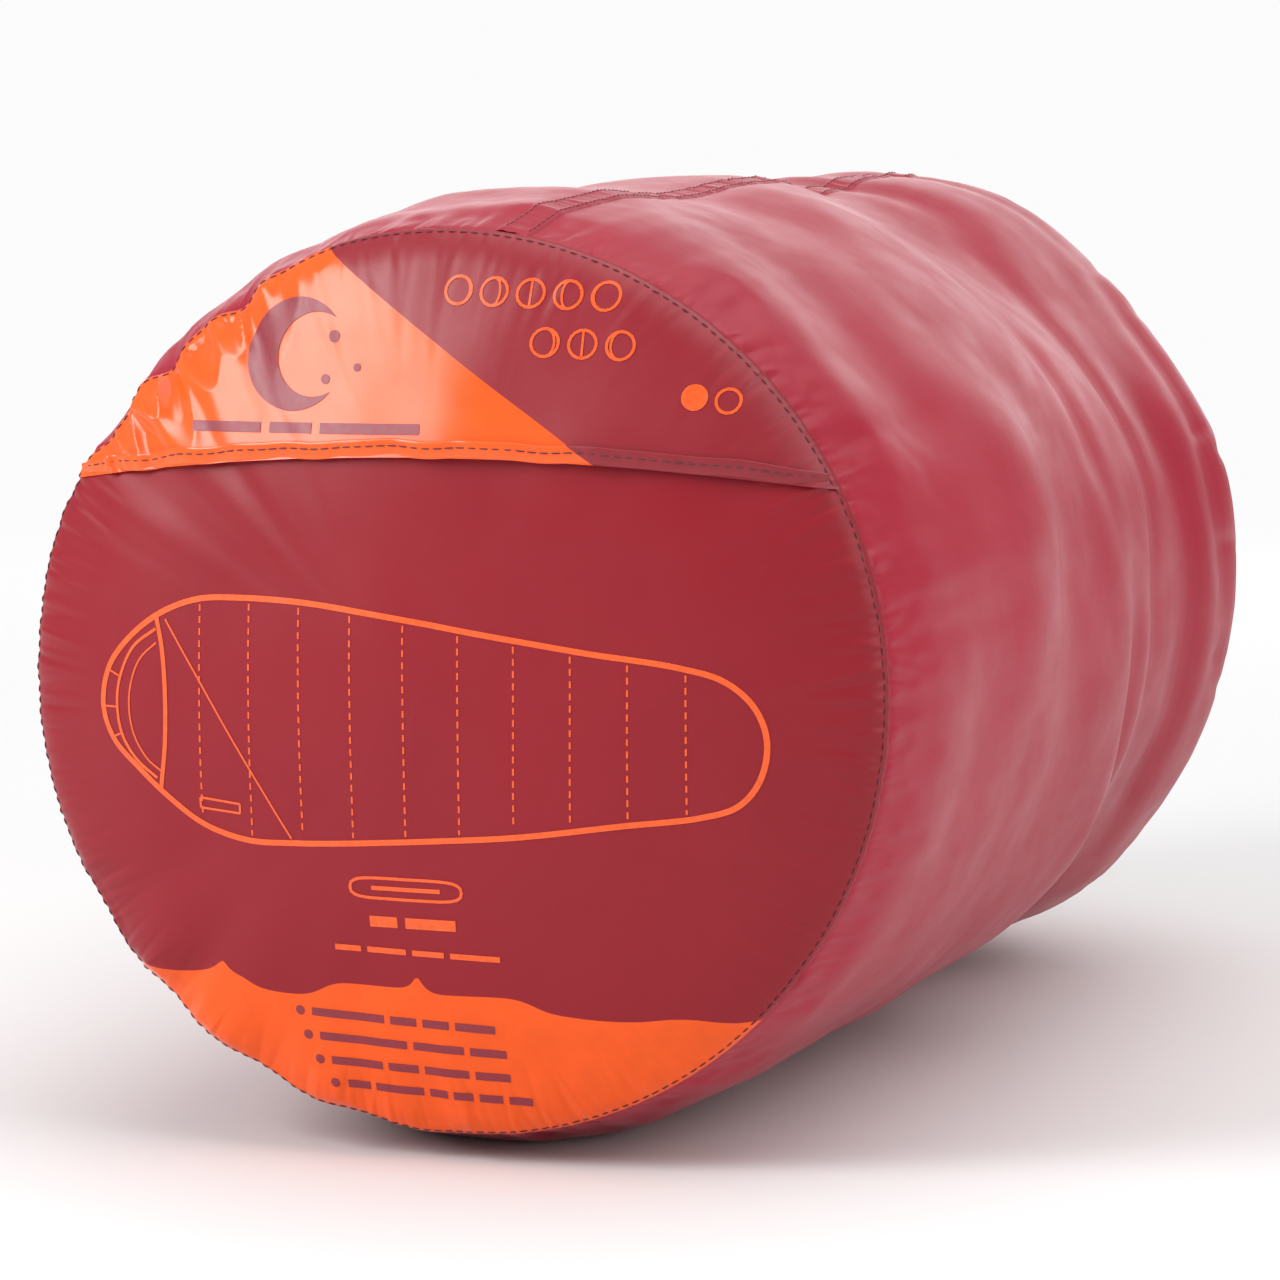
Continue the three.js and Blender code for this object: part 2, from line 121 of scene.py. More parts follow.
def add_studio():
    middle = (0, 0, AXIS_Z)
    add_sun("overhead", (0.25, 0.2, 1.0), 1.7, 70)
    add_light("right_wall", (1.3, -0.35, 0.62), middle, (0.7, 1.1), 6.5)
    add_light("front_left", (-0.73, -0.98, 0.78), middle, (0.6, 0.75), 13.5)
    back = add_light("back_rim", (-0.35, 1.7, 0.62), (0, 0.1, 0.15), (1.8, 0.7), 7.0)
    back.visible_camera = False
    world = bpy.data.worlds.new("studio")
    world.use_nodes = True
    tree = world.node_tree
    background = tree.nodes["Background"]
    background.inputs["Color"].default_value = (1, 1, 1, 1)
    path = tree.nodes.new("ShaderNodeLightPath")
    strength = tree.nodes.new("ShaderNodeMapRange")    # a white backdrop that lights the object less
    strength.inputs["To Min"].default_value = 0.4
    strength.inputs["To Max"].default_value = 0.97
    tree.links.new(path.outputs["Is Camera Ray"], strength.inputs["Value"])
    tree.links.new(strength.outputs["Result"], background.inputs["Strength"])
    bpy.context.scene.world = world
    bpy.context.scene.view_settings.view_transform = "Standard"

    reach, level = 8.0, -0.0003
    mesh = bpy.data.meshes.new("floor")
    mesh.from_pydata([(x, y, level) for x, y in ((-reach, -reach), (reach, -reach), (reach, reach),
                                                 (-reach, reach))], [], [(0, 1, 2, 3)])
    floor = bpy.data.objects.new("floor", mesh)
    bpy.context.scene.collection.objects.link(floor)
    paper = bpy.data.materials.new("floor_paper")
    paper.use_nodes = True
    tree = paper.node_tree
    shader = tree.nodes["Principled BSDF"]
    shader.inputs["Base Color"].default_value = (0.76, 0.76, 0.76, 1)
    shader.inputs["Roughness"].default_value = 0.9
    shader.inputs["Specular IOR Level"].default_value = 0.1
    # away from the object the paper turns to an even white, so that no horizon shows
    spot = tree.nodes.new("ShaderNodeTexCoord")
    reach_node = tree.nodes.new("ShaderNodeVectorMath")
    reach_node.operation = "LENGTH"
    fade = tree.nodes.new("ShaderNodeMapRange")
    fade.interpolation_type = "SMOOTHSTEP"
    fade.inputs["From Min"].default_value = 0.45
    fade.inputs["From Max"].default_value = 1.9
    glow = tree.nodes.new("ShaderNodeEmission")
    glow.inputs["Strength"].default_value = 0.97
    blend = tree.nodes.new("ShaderNodeMixShader")
    tree.links.new(spot.outputs["Object"], reach_node.inputs[0])
    tree.links.new(reach_node.outputs["Value"], fade.inputs["Value"])
    tree.links.new(fade.outputs["Result"], blend.inputs["Fac"])
    tree.links.new(shader.outputs["BSDF"], blend.inputs[1])
    tree.links.new(glow.outputs["Emission"], blend.inputs[2])
    tree.links.new(blend.outputs["Shader"], tree.nodes["Material Output"].inputs["Surface"])
    mesh.materials.append(paper)


add_camera()
add_studio()


# ---------- materials ----------
class Nodes:
    """A short way to write a node tree."""

    def __init__(self, name):
        self.material = bpy.data.materials.new(name)
        self.material.use_nodes = True
        self.tree = self.material.node_tree
        self.shader = self.tree.nodes["Principled BSDF"]

    def add(self, kind, inputs=None, **settings):
        node = self.tree.nodes.new("ShaderNode" + kind)
        for key, value in settings.items():
            setattr(node, key, value)
        for key, value in (inputs or {}).items():
            self.feed(node.inputs[key], value)
        return node

    def feed(self, socket, value):
        if isinstance(value, bpy.types.NodeSocket):
            self.tree.links.new(value, socket)
        else:
            socket.default_value = value

    def math(self, operation, a, b=0.0, clamp=False):
        return self.add("Math", {0: a, 1: b}, operation=operation, use_clamp=clamp).outputs[0]

    def noise(self, vector, scale, detail=3.0, roughness=0.55):
        node = self.add("TexNoise", {"Vector": vector, "Scale": scale, "Detail": detail,
                                     "Roughness": roughness})
        return node.outputs["Fac"]

    def stretch(self, vector, scale):
        return self.add("Mapping", {"Vector": vector, "Scale": scale}).outputs["Vector"]

    def ramp(self, value, low, high, out_low=0.0, out_high=1.0):
        node = self.add("MapRange", {"Value": value, "From Min": low, "From Max": high,
                                     "To Min": out_low, "To Max": out_high})
        return node.outputs["Result"]

    def mix(self, factor, a, b):
        node = self.add("Mix", data_type="RGBA")
        self.feed(node.inputs[0], factor)
        self.feed(node.inputs[6], a)
        self.feed(node.inputs[7], b)
        return node.outputs[2]

    def bump(self, height, strength, distance, normal=None):
        node = self.add("Bump", {"Height": height, "Strength": strength, "Distance": distance})
        if normal is not None:
            self.feed(node.inputs["Normal"], normal)
        return node.outputs["Normal"]

    def place(self):
        return self.add("TexCoord").outputs["Object"]


def rgb(colour, factor=1.0):
    return tuple(c * factor for c in colour) + (1.0,)


def weave_height(nodes, place, along, pitch):
    """Threads of a plain weave: two sets of fine ribs, crossed."""
    fine = nodes.noise(nodes.stretch(place, (1 / pitch, 0.12 / pitch, 1 / pitch)), 1.0, 1.0)
    cross = nodes.noise(nodes.stretch(place, (0.12 / pitch, 1 / pitch, 0.12 / pitch)), 1.0, 1.0)
    return nodes.math("ADD", nodes.math("MULTIPLY", fine, along), nodes.math("MULTIPLY", cross, 1 - along))


def nylon(name, colour, roughness=0.4, ink_mask=None, ink=(0.9, 0.105, 0.012), sheen=0.08, gloss=0.32):
    """Thin coated nylon: fine weave, cloudy colour, satin sheen, and glossy ink where ink_mask says."""
    nodes = Nodes(name)
    place = nodes.place()
    cloud = nodes.noise(place, 14.0, 4.0)
    grain = nodes.noise(place, 900.0, 2.0)
    weave = weave_height(nodes, place, 0.5, 0.55 * MM)
    tone = nodes.math("ADD", nodes.math("MULTIPLY", cloud, 0.75), nodes.math("MULTIPLY", grain, 0.25))
    cloth = nodes.mix(nodes.ramp(tone, 0.35, 0.65), rgb(colour, 0.95), rgb(colour, 1.05))
    rough = nodes.ramp(nodes.noise(place, 60.0, 3.0), 0.3, 0.7, roughness - 0.05, roughness + 0.06)
    height = nodes.math("ADD", nodes.math("MULTIPLY", weave, 0.6), nodes.math("MULTIPLY", grain, 0.4))
    if ink_mask is not None:
        mask = ink_mask(nodes, place)
        wear = nodes.ramp(nodes.noise(place, 120.0, 4.0), 0.25, 0.75)
        paint = nodes.mix(wear, rgb(ink, 0.93), rgb(ink, 1.05))
        cloth = nodes.mix(mask, cloth, paint)
        rough_ink = nodes.ramp(nodes.noise(place, 90.0, 2.0), 0.3, 0.7, 0.19, 0.27)
        rough = nodes.add("Mix", {0: mask, 2: rough, 3: rough_ink}, data_type="FLOAT").outputs[0]
        bare = nodes.math("SUBTRACT", 1.0, nodes.math("MULTIPLY", mask, 0.6))
        height = nodes.math("MULTIPLY", height, bare)
    nodes.feed(nodes.shader.inputs["Base Color"], cloth)
    nodes.feed(nodes.shader.inputs["Roughness"], rough)
    nodes.shader.inputs["Sheen Weight"].default_value = sheen
    nodes.shader.inputs["Sheen Roughness"].default_value = 0.28
    nodes.shader.inputs["Sheen Tint"].default_value = (1.0, 0.62, 0.66, 1)
    nodes.shader.inputs["Specular IOR Level"].default_value = gloss
    nodes.feed(nodes.shader.inputs["Normal"], nodes.bump(height, 0.25, 0.12 * MM))
    return nodes.material


def ink_material(name, colour, roughness=0.35):
    """Screen-printed ink with slightly uneven cover."""
    nodes = Nodes(name)
    place = nodes.place()
    speck = nodes.noise(place, 700.0, 3.0)
    nodes.feed(nodes.shader.inputs["Base Color"], nodes.mix(nodes.ramp(speck, 0.35, 0.65),
               rgb(colour, 0.86), rgb(colour, 1.04)))
    nodes.feed(nodes.shader.inputs["Roughness"], nodes.ramp(speck, 0.3, 0.7, roughness, roughness + 0.1))
    nodes.feed(nodes.shader.inputs["Normal"], nodes.bump(speck, 0.2, 0.05 * MM))
    return nodes.material


def thread_material(name, colour):
    """Twisted sewing thread."""
    nodes = Nodes(name)
    place = nodes.place()
    fuzz = nodes.noise(place, 2600.0, 2.0)
    nodes.feed(nodes.shader.inputs["Base Color"], nodes.mix(fuzz, rgb(colour, 0.7), rgb(colour, 1.25)))
    nodes.feed(nodes.shader.inputs["Roughness"], nodes.ramp(fuzz, 0.3, 0.7, 0.5, 0.75))
    nodes.shader.inputs["Sheen Weight"].default_value = 0.2
    nodes.feed(nodes.shader.inputs["Normal"], nodes.bump(fuzz, 0.5, 0.08 * MM))
    return nodes.material


def cord_material(name):
    """Dark braided cord with paler flecks."""
    nodes = Nodes(name)
    place = nodes.place()
    fleck = nodes.noise(place, 1500.0, 2.0)
    nodes.feed(nodes.shader.inputs["Base Color"], nodes.mix(nodes.ramp(fleck, 0.52, 0.72),
               rgb((0.02, 0.02, 0.024)), rgb((0.1, 0.1, 0.11))))
    nodes.feed(nodes.shader.inputs["Roughness"], nodes.ramp(fleck, 0.3, 0.7, 0.6, 0.85))
    nodes.shader.inputs["Sheen Weight"].default_value = 0.3
    nodes.feed(nodes.shader.inputs["Normal"], nodes.bump(fleck, 0.4, 0.1 * MM))
    return nodes.material


def plastic_material(name, colour):
    """Moulded plastic with a fine spark-eroded texture and rubbed high spots."""
    nodes = Nodes(name)
    place = nodes.place()
    texture = nodes.noise(place, 1800.0, 3.0)
    smear = nodes.noise(place, 160.0, 3.0)
    nodes.feed(nodes.shader.inputs["Base Color"], nodes.mix(smear, rgb(colour, 0.8), rgb(colour, 1.5)))
    nodes.feed(nodes.shader.inputs["Roughness"], nodes.ramp(smear, 0.3, 0.7, 0.34, 0.52))
    nodes.feed(nodes.shader.inputs["Normal"], nodes.bump(texture, 0.18, 0.05 * MM))
    return nodes.material


def steel_material(name):
    """Plated steel, faintly brushed."""
    nodes = Nodes(name)
    place = nodes.place()
    brushed = nodes.noise(nodes.stretch(place, (400, 3000, 400)), 1.0, 2.0)
    nodes.feed(nodes.shader.inputs["Base Color"],
               nodes.mix(brushed, (0.5, 0.51, 0.52, 1), (0.66, 0.66, 0.65, 1)))
    nodes.shader.inputs["Metallic"].default_value = 1.0
    nodes.feed(nodes.shader.inputs["Roughness"], nodes.ramp(brushed, 0.3, 0.7, 0.22, 0.4))
    nodes.feed(nodes.shader.inputs["Normal"], nodes.bump(brushed, 0.15, 0.03 * MM))
    return nodes.material


def down_material(name):
    """Down seen as a soft off-white mass."""
    nodes = Nodes(name)
    place = nodes.place()
    clump = nodes.noise(place, 80.0, 6.0, 0.7)
    nodes.feed(nodes.shader.inputs["Base Color"],
               nodes.mix(clump, (0.6, 0.57, 0.5, 1), (0.86, 0.84, 0.79, 1)))
    nodes.feed(nodes.shader.inputs["Roughness"], nodes.ramp(clump, 0.3, 0.7, 0.85, 1.0))
    nodes.shader.inputs["Sheen Weight"].default_value = 0.5
    nodes.feed(nodes.shader.inputs["Normal"], nodes.bump(clump, 0.6, 2 * MM))
    return nodes.material


HILL_OUTLINE = [  # skyline on the base: x and height above its lowest edge, in millimetres
    (-114, 22), (-92, 20), (-84, 16.5), (-74, 15), (-66, 15.6), (-58, 19), (-53, 15.5), (-38, 12),
    (-22, 16), (-9, 15.8), (-3, 19), (4, 14.6), (18, 14.8), (34, 10.8), (50, 9.8), (64, 10.8),
    (76, 10), (92, 15), (114, 22),
]
HILL_FLOOR = -90.0
HILL_RANGE = 30.0


def hill_mask(nodes, place):
    split = nodes.add("SeparateXYZ", {"Vector": place})
    share = nodes.ramp(split.outputs["X"], -0.114, 0.114)
    curve = nodes.add("FloatCurve", {"Value": share})
    line = curve.mapping.curves[0]
    points = [((x + 114) / 228, h / HILL_RANGE) for x, h in HILL_OUTLINE]
    line.points[0].location = points[0]
    line.points[1].location = points[-1]
    for x, y in points[1:-1]:
        line.points.new(x, y)
    for point in line.points:
        peak = point.location[1] > 0.6 and 0.15 < point.location[0] < 0.85
        point.handle_type = "VECTOR" if peak else "AUTO_CLAMPED"
    curve.mapping.update()
    edge = nodes.ramp(curve.outputs[0], 0, 1, AXIS_Z + HILL_FLOOR * MM,
                      AXIS_Z + (HILL_FLOOR + HILL_RANGE) * MM)
    above = nodes.math("SUBTRACT", edge, split.outputs["Z"])
    return nodes.ramp(above, -0.1 * MM, 0.1 * MM)


WEDGE_TOP = (-31 * MM, 108.6 * MM)
WEDGE_TIP = (41 * MM, 60 * MM)


def wedge_mask(nodes, place):
    """Ink on the flap to the left of the straight line from WEDGE_TOP down to WEDGE_TIP."""
    split = nodes.add("SeparateXYZ", {"Vector": place})
    slope = (WEDGE_TIP[1] - WEDGE_TOP[1]) / (WEDGE_TIP[0] - WEDGE_TOP[0])
    line = nodes.math("MULTIPLY", nodes.math("SUBTRACT", split.outputs["X"], WEDGE_TOP[0]), slope)
    line = nodes.math("ADD", line, WEDGE_TOP[1] + AXIS_Z)
    return nodes.ramp(nodes.math("SUBTRACT", line, split.outputs["Z"]), -0.1 * MM, 0.1 * MM)


MAROON = (0.27, 0.012, 0.021)
# Wall cloth colour: the same maroon cloth as the base, painted lighter and pinker to stand in for the
# brighter light and sheen on the wall (painted light).
LIT_MAROON = (0.36, 0.013, 0.034)
ORANGE = (0.9, 0.105, 0.012)
looks = {
    "base": nylon("nylon_base", MAROON, 0.4, hill_mask, gloss=0.24),
    "flap": nylon("nylon_flap", (0.27, 0.014, 0.024), 0.38, wedge_mask, gloss=0.42),
    "hem": nylon("nylon_hem", (0.25, 0.012, 0.021), 0.42, wedge_mask, gloss=0.5),
    # the wall's colour holds painted light: lighter than the base's maroon because the wall is more brightly
    # lit
    "wall": nylon("nylon_wall", LIT_MAROON, 0.4, sheen=0.12, gloss=0.24),
    # the side seam's strip: the same maroon cloth, painted as light as the lit wall (painted light)
    "seam": nylon("nylon_seam", (0.34, 0.012, 0.031), 0.44, sheen=0.12, gloss=0.24),
    "thread": thread_material("thread_maroon", (0.1, 0.005, 0.012)),
    # thread for the side seam and the mouth, painted lighter than the base seam's thread to match the lit
    # wall (painted light)
    "thread_lit": thread_material("thread_lit_maroon", (0.24, 0.012, 0.026)),
    "ink": ink_material("ink_orange", ORANGE),
    "ink_dark": ink_material("ink_maroon", (0.26, 0.02, 0.035)),
    "cord": cord_material("cord_braid"),
    "plastic": plastic_material("lock_plastic", (0.014, 0.014, 0.015)),
    "steel": steel_material("steel_plated"),
    "down": down_material("down_fill"),
    "shell": nylon("nylon_bag_shell", (0.33, 0.03, 0.05), 0.42),
    "liner": nylon("nylon_liner", (0.07, 0.078, 0.09), 0.55),
    "tape": thread_material("zip_tape", (0.016, 0.016, 0.019)),
}


# ---------- mesh helpers ----------
def new_object(name, points, faces, material, smooth=True):
    mesh = bpy.data.meshes.new(name)
    mesh.from_pydata([tuple(p) for p in points], [], faces)
    mesh.materials.append(material)
    if smooth:
        mesh.polygons.foreach_set("use_smooth", [True] * len(mesh.polygons))
    mesh.update()
    thing = bpy.data.objects.new(name, mesh)
    bpy.context.scene.collection.objects.link(thing)
    return thing


def grid_faces(rows, columns, closed=False, start=0, flip=False):
    """Quads of a grid of points stored row by row; closed joins the last column to the first."""
    i = np.arange(rows - 1)[:, None]
    j = np.arange(columns if closed else columns - 1)[None, :]
    a = i * columns + j
    b = i * columns + (j + 1) % columns
    quads = np.stack([a, b, b + columns, a + columns], -1).reshape(-1, 4) + start
    return (quads[:, ::-1] if flip else quads).tolist()


def waves(a, b, seed, size, count=18, spread=0.5, period=None):
    """Smooth, seeded noise over two lengths a and b: a sum of plane waves about size long.
    With period, it repeats when a grows by that much."""
    random = np.random.default_rng(seed)
    total = np.zeros(np.broadcast(a, b).shape)
    for _ in range(count):
        angle = random.uniform(0, TAU)
        length = size * math.exp(random.uniform(-spread, spread))
        ka = TAU * math.cos(angle) / length
        kb = TAU * math.sin(angle) / length
        if period:
            ka = round(ka * period / TAU) * TAU / period
        total += np.cos(ka * a + kb * b + random.uniform(0, TAU))
    return total / math.sqrt(count / 2)


def smooth_step(x, low, high):
    t = np.clip((x - low) / (high - low), 0, 1)
    return t * t * (3 - 2 * t)


# ---------- puckers ----------
class Puckers:
    """Fine gathers that cross a seam: random ridges and valleys that die out away from the stitches."""

    def __init__(self, seed, length, spacing, reach, depth, closed=True):
        random = np.random.default_rng(seed)
        self.length, self.closed = length, closed
        count = int(length / spacing)
        self.at = (np.arange(count) + random.uniform(-0.35, 0.35, count)) * spacing
        self.width = random.uniform(0.28, 0.5, count) * spacing
        self.reach = reach * np.exp(random.uniform(-0.7, 0.8, count))
        self.depth = depth * random.uniform(0.45, 1.25, count) * np.where(random.random(count) < 0.72, -1, 1)
        self.lean = random.uniform(-0.22, 0.22, count)

    def __call__(self, along, away):
        """Height at a place: along the seam, and away from it (0 or more)."""
        total = np.zeros(along.shape)
        limit = self.reach.max() * 3
        near = away < limit
        s, d = along[near], away[near]
        found = np.zeros(s.shape)
        for at, width, reach, depth, lean in zip(self.at, self.width, self.reach, self.depth, self.lean):
            gap = s - at - lean * d
            if self.closed:
                gap = (gap + self.length / 2) % self.length - self.length / 2
            close = np.abs(gap) < 3 * width + 0.0004
            spread = width * (1 + 0.6 * np.minimum(d[close] / reach, 2))
            across = np.exp(-((gap[close] / spread) ** 2))
            found[close] += depth * across * np.exp(-((d[close] / reach) ** 1.3))
        total[near] = found
        return total


SEAM_LENGTH = TAU * BASE_R
base_puckers = Puckers(11, SEAM_LENGTH, 2.0 * MM, 7.5 * MM, 0.42 * MM)
long_puckers = Puckers(12, SEAM_LENGTH, 7.5 * MM, 9 * MM, 0.36 * MM)
low_puckers = Puckers(15, SEAM_LENGTH, 13 * MM, 17 * MM, 1.7 * MM)


def seam_radius(angle):
    """Radius of the base seam: drawn in and scalloped at the upper left, where the flap pulls on it,
    and a little at the lower left."""
    turn = (angle + math.radians(42) + math.pi) % TAU - math.pi
    window = np.exp(-((turn / math.radians(20)) ** 4))
    scallop = 0.75 + 0.25 * np.cos(turn * 29 + 0.6) + 0.12 * np.cos(turn * 51 + 2.0)
    low = (angle + math.radians(150) + math.pi) % TAU - math.pi
    low_window = np.exp(-((low / math.radians(32)) ** 4))
    return BASE_R - 5.2 * MM * window * scallop - 1.5 * MM * low_window * (0.5 + 0.5 * np.cos(low * 23 + 1.0))


def seam_ripple(angle, away):
    """Gathers beside the base seam, on either side of it; angle is from the top towards +X."""
    along = (angle % TAU) * BASE_R
    return base_puckers(along, away) + long_puckers(along, away)


def low_folds(angle, away):
    """Soft folds that cross the printed hills at the lower left, from the seam inwards."""
    turn = (angle + math.radians(148) + math.pi) % TAU - math.pi
    window = np.exp(-((turn / math.radians(33)) ** 4)) * smooth_step(away, 0, 4 * MM)
    return window * low_puckers((angle % TAU) * BASE_R, away)


# ---------- the sack's cloth ----------
WALL_COLUMNS = 600
BAND_SPLIT = 3                   # the band beside the base seam has this many columns for each one
BAND = 17 * MM                   # that band's width


def wall_profile():
    """Points (y, radius) from the base seam along the wall and over the gathered end to the channel."""
    body = [(y, float(wall_radius(y))) for y in np.linspace(SEAM_Y, WALL_END, 160)]
    last_y, last_r = body[-1]
    neck = []
    for t in np.linspace(0, 1, 24)[1:]:
        radius = last_r + (19.4 * MM - last_r) * t
        neck.append((last_y + 8 * MM * math.sin(t * math.pi / 2) ** 0.9, radius))
    points = np.array(body + neck)
    travelled = np.concatenate([[0], np.cumsum(np.linalg.norm(np.diff(points, axis=0), axis=1))])
    return points, travelled


PROFILE, PROFILE_LENGTH = wall_profile()
PROFILE_SLOPE = np.unwrap(np.arctan2(np.gradient(PROFILE[:, 1]), np.gradient(PROFILE[:, 0])))


def profile_at(distance):
    """y, radius and slope of the wall at a distance from the base seam."""
    y = np.interp(distance, PROFILE_LENGTH, PROFILE[:, 0])
    radius = np.interp(distance, PROFILE_LENGTH, PROFILE[:, 1])
    return y, radius, np.interp(distance, PROFILE_LENGTH, PROFILE_SLOPE)


def outward(angle, slope):
    return np.stack([np.sin(angle) * np.cos(slope), -np.sin(slope) + 0 * angle,
                     np.cos(angle) * np.cos(slope)], -1)


def ring_points(angle, y, radius):
    """Points round the sack's axis; angle is from the top towards +X."""
    return np.stack([radius * np.sin(angle), y + 0 * angle, AXIS_Z + radius * np.cos(angle)], -1)


def lumps(angle, distance):
    """The contents pressing out: broad soft swellings, and long folds that run round the sack."""
    along = angle * 0.12
    period = TAU * 0.12
    broad = waves(along, distance, 21, 0.16, period=period) * 1.5 * MM
    middle = waves(along, distance, 22, 0.07, period=period) * 0.55 * MM
    fade = smooth_step(distance, 0.0, 0.08)
    return (broad + middle) * fade


FOLDS = [  # creases round the wall: place along it, its tilt, middle angle, half angle, depth, width
    (0.232, 0.10, 118, 46, 4.2, 10.0),
    (0.262, -0.05, 70, 50, 1.6, 7.0),
    (0.205, 0.12, 60, 38, 1.1, 8.0),
    (0.300, 0.05, 96, 52, 1.9, 9.0),
    (0.335, -0.06, 66, 60, 1.7, 8.0),
    (0.362, 0.04, 108, 40, 1.4, 7.0),
    (0.150, -0.03, 84, 30, 0.8, 11.0),
    (0.300, 0.05, 330, 40, 1.8, 9.0),
    (0.236, -0.08, 262, 50, 2.8, 9.0),
    (0.345, 0.05, 215, 48, 1.8, 9.0),
    (0.180, 0.04, 300, 34, 1.2, 8.0),
    (0.120, -0.05, 235, 40, 1.1, 9.0),
    (0.272, 0.03, 5, 30, 1.4, 8.0),
    (0.332, 0.04, 20, 34, 1.3, 7.0),
]


def folds(angle, distance):
    total = np.zeros(angle.shape)
    for number, (place, tilt, middle, half, depth, width) in enumerate(FOLDS):
        turn = (angle - math.radians(middle) + math.pi) % TAU - math.pi
        share = np.clip(1 - (turn / math.radians(half)) ** 2, 0, 1)
        wander = 3 * MM * np.sin(turn * 5 + number) + 1.5 * MM * np.sin(turn * 11 + 2 * number)
        gap = (distance - place - tilt * turn * 0.12 - wander) / (width * MM)
        valley = np.exp(-np.abs(gap) ** 1.5)
        ridge = np.exp(-((gap - 1.7) ** 2)) + 0.7 * np.exp(-((gap + 1.8) ** 2))
        total += share ** 1.7 * depth * MM * (0.42 * ridge - valley)
    return total


def long_streaks(angle, distance):
    """Faint pulls that start at the base seam and run along the wall."""
    along = (angle % TAU) * BASE_R
    fine = waves(along, distance * 0.06, 31, 0.011, period=SEAM_LENGTH) * 0.16 * MM
    wide = waves(along, distance * 0.10, 32, 0.03, period=SEAM_LENGTH) * 0.35 * MM
    return fine * np.exp(-distance / 0.05) + wide * np.exp(-distance / 0.12) * smooth_step(distance, 0, 0.02)


side_puckers = Puckers(14, PROFILE_LENGTH[-1], 4.2 * MM, 5.5 * MM, 0.42 * MM, closed=False)


def side_seam_ripple(angle, distance):
    """Gathers across the side seam, on both sides of its strip."""
    turn = (angle - SEAM_LEAN + math.pi) % TAU - math.pi
    off = np.abs(turn) * 0.12
    return 0.55 * side_puckers(distance, off) - 0.7 * MM * np.exp(-((off / (5 * MM)) ** 2))


GATHERS = 30


def gathers(angle, distance):
    """Pleats that radiate from the drawn mouth and fade on the shoulder."""
    left = PROFILE_LENGTH[-1] - distance
    near = np.exp(-left / 0.034)
    wobble = waves(angle * 0.1, distance, 41, 0.08, period=TAU * 0.1) * 0.55
    main = np.cos(GATHERS * angle + wobble)
    second = np.cos(GATHERS * 0.5 * angle + 1.3 + 1.6 * wobble)
    third = np.cos(GATHERS * 2 * angle + 2.1 - wobble)
    sharp = 1 - np.abs(main) ** 0.75 * 1.6
    return (1.5 * sharp * near + 1.5 * second * np.exp(-left / 0.06) + 0.4 * third * near) * MM


def simulated_drift(columns, rows):
    """Cloth simulation of the wall: cloth cut 2.5% too large is blown up between the two sewn ends and
    buckles into natural wrinkles. Returns how far each point moved outwards, without the broad swelling."""
    a, d = np.meshgrid(np.arange(columns) * TAU / columns, np.linspace(0, PROFILE_LENGTH[-1], rows))
    y, radius, slope = profile_at(d)
    normal = outward(a, slope)
    grid = ring_points(a, y, radius) + normal * (lumps(a, d) * 0.6)[..., None]
    cloth_object = new_object("wall_simulation", grid.reshape(-1, 3), grid_faces(rows, columns, True),
                              looks["wall"])
    pins = cloth_object.vertex_groups.new(name="pins")
    pins.add(list(range(2 * columns)), 1.0, "REPLACE")
    pins.add(list(range((rows - 2) * columns, rows * columns)), 1.0, "REPLACE")
    modifier = cloth_object.modifiers.new("cloth", "CLOTH")
    settings = modifier.settings
    settings.quality = 5
    settings.mass = 0.12
    settings.tension_stiffness = settings.compression_stiffness = 14
    settings.shear_stiffness = 6
    settings.bending_stiffness = 0.35
    settings.air_damping = 2.0
    settings.vertex_group_mass = "pins"
    settings.shrink_min = -0.025
    settings.use_pressure = True
    settings.uniform_pressure_force = 3.0
    settings.effector_weights.gravity = 0
    modifier.collision_settings.use_collision = False
    scene = bpy.context.scene
    for number in range(1, 21):
        scene.frame_set(number)
    evaluated = cloth_object.evaluated_get(bpy.context.evaluated_depsgraph_get())
    moved = np.empty(len(evaluated.data.vertices) * 3, np.float32)
    evaluated.data.vertices.foreach_get("co", moved)
    bpy.data.objects.remove(cloth_object)
    scene.frame_set(1)
    drift = ((moved.reshape(rows, columns, 3) - grid) * normal).sum(-1)
    return drift - blurred(drift, 9)


def blurred(field, reach):
    """Box blur, three times, that wraps round the columns."""
    for _ in range(3):
        field = sum(np.roll(field, k, 1) for k in range(-reach, reach + 1)) / (2 * reach + 1)
        padded = np.pad(field, ((reach, reach), (0, 0)), mode="edge")
        rows = field.shape[0]
        field = sum(padded[k:k + rows] for k in range(2 * reach + 1)) / (2 * reach + 1)
    return field


def cubic_weights(t):
    """Catmull-Rom weights of the four neighbours at a place t of the way between the middle two."""
    return (0.5 * (2 * t ** 2 - t - t ** 3), 0.5 * (2 - 5 * t ** 2 + 3 * t ** 3),
            0.5 * (t + 4 * t ** 2 - 3 * t ** 3), 0.5 * (t ** 3 - t ** 2))


class SimulatedWrinkles:
    """The drift of the simulated cloth, read at any angle and distance along the wall."""

    def __init__(self):
        self.columns, self.rows = 200, 104
        self.field = np.zeros((self.rows, self.columns))
        drift = simulated_drift(self.columns, self.rows)
        self.field = np.clip(drift, -WRINKLE_LIMIT, WRINKLE_LIMIT)

    def __call__(self, angle, distance):
        row = np.clip(distance / PROFILE_LENGTH[-1], 0, 1) * (self.rows - 1)
        column = (angle % TAU) / TAU * self.columns
        i, j = np.floor(row).astype(int), np.floor(column).astype(int)
        total = np.zeros(row.shape)
        for di, row_weight in zip((-1, 0, 1, 2), cubic_weights(row - i)):
            for dj, column_weight in zip((-1, 0, 1, 2), cubic_weights(column - j)):
                value = self.field[np.clip(i + di, 0, self.rows - 1), (j + dj) % self.columns]
                total += row_weight * column_weight * value
        return total


WRINKLE_LIMIT = 2.5 * MM
wrinkles = SimulatedWrinkles()


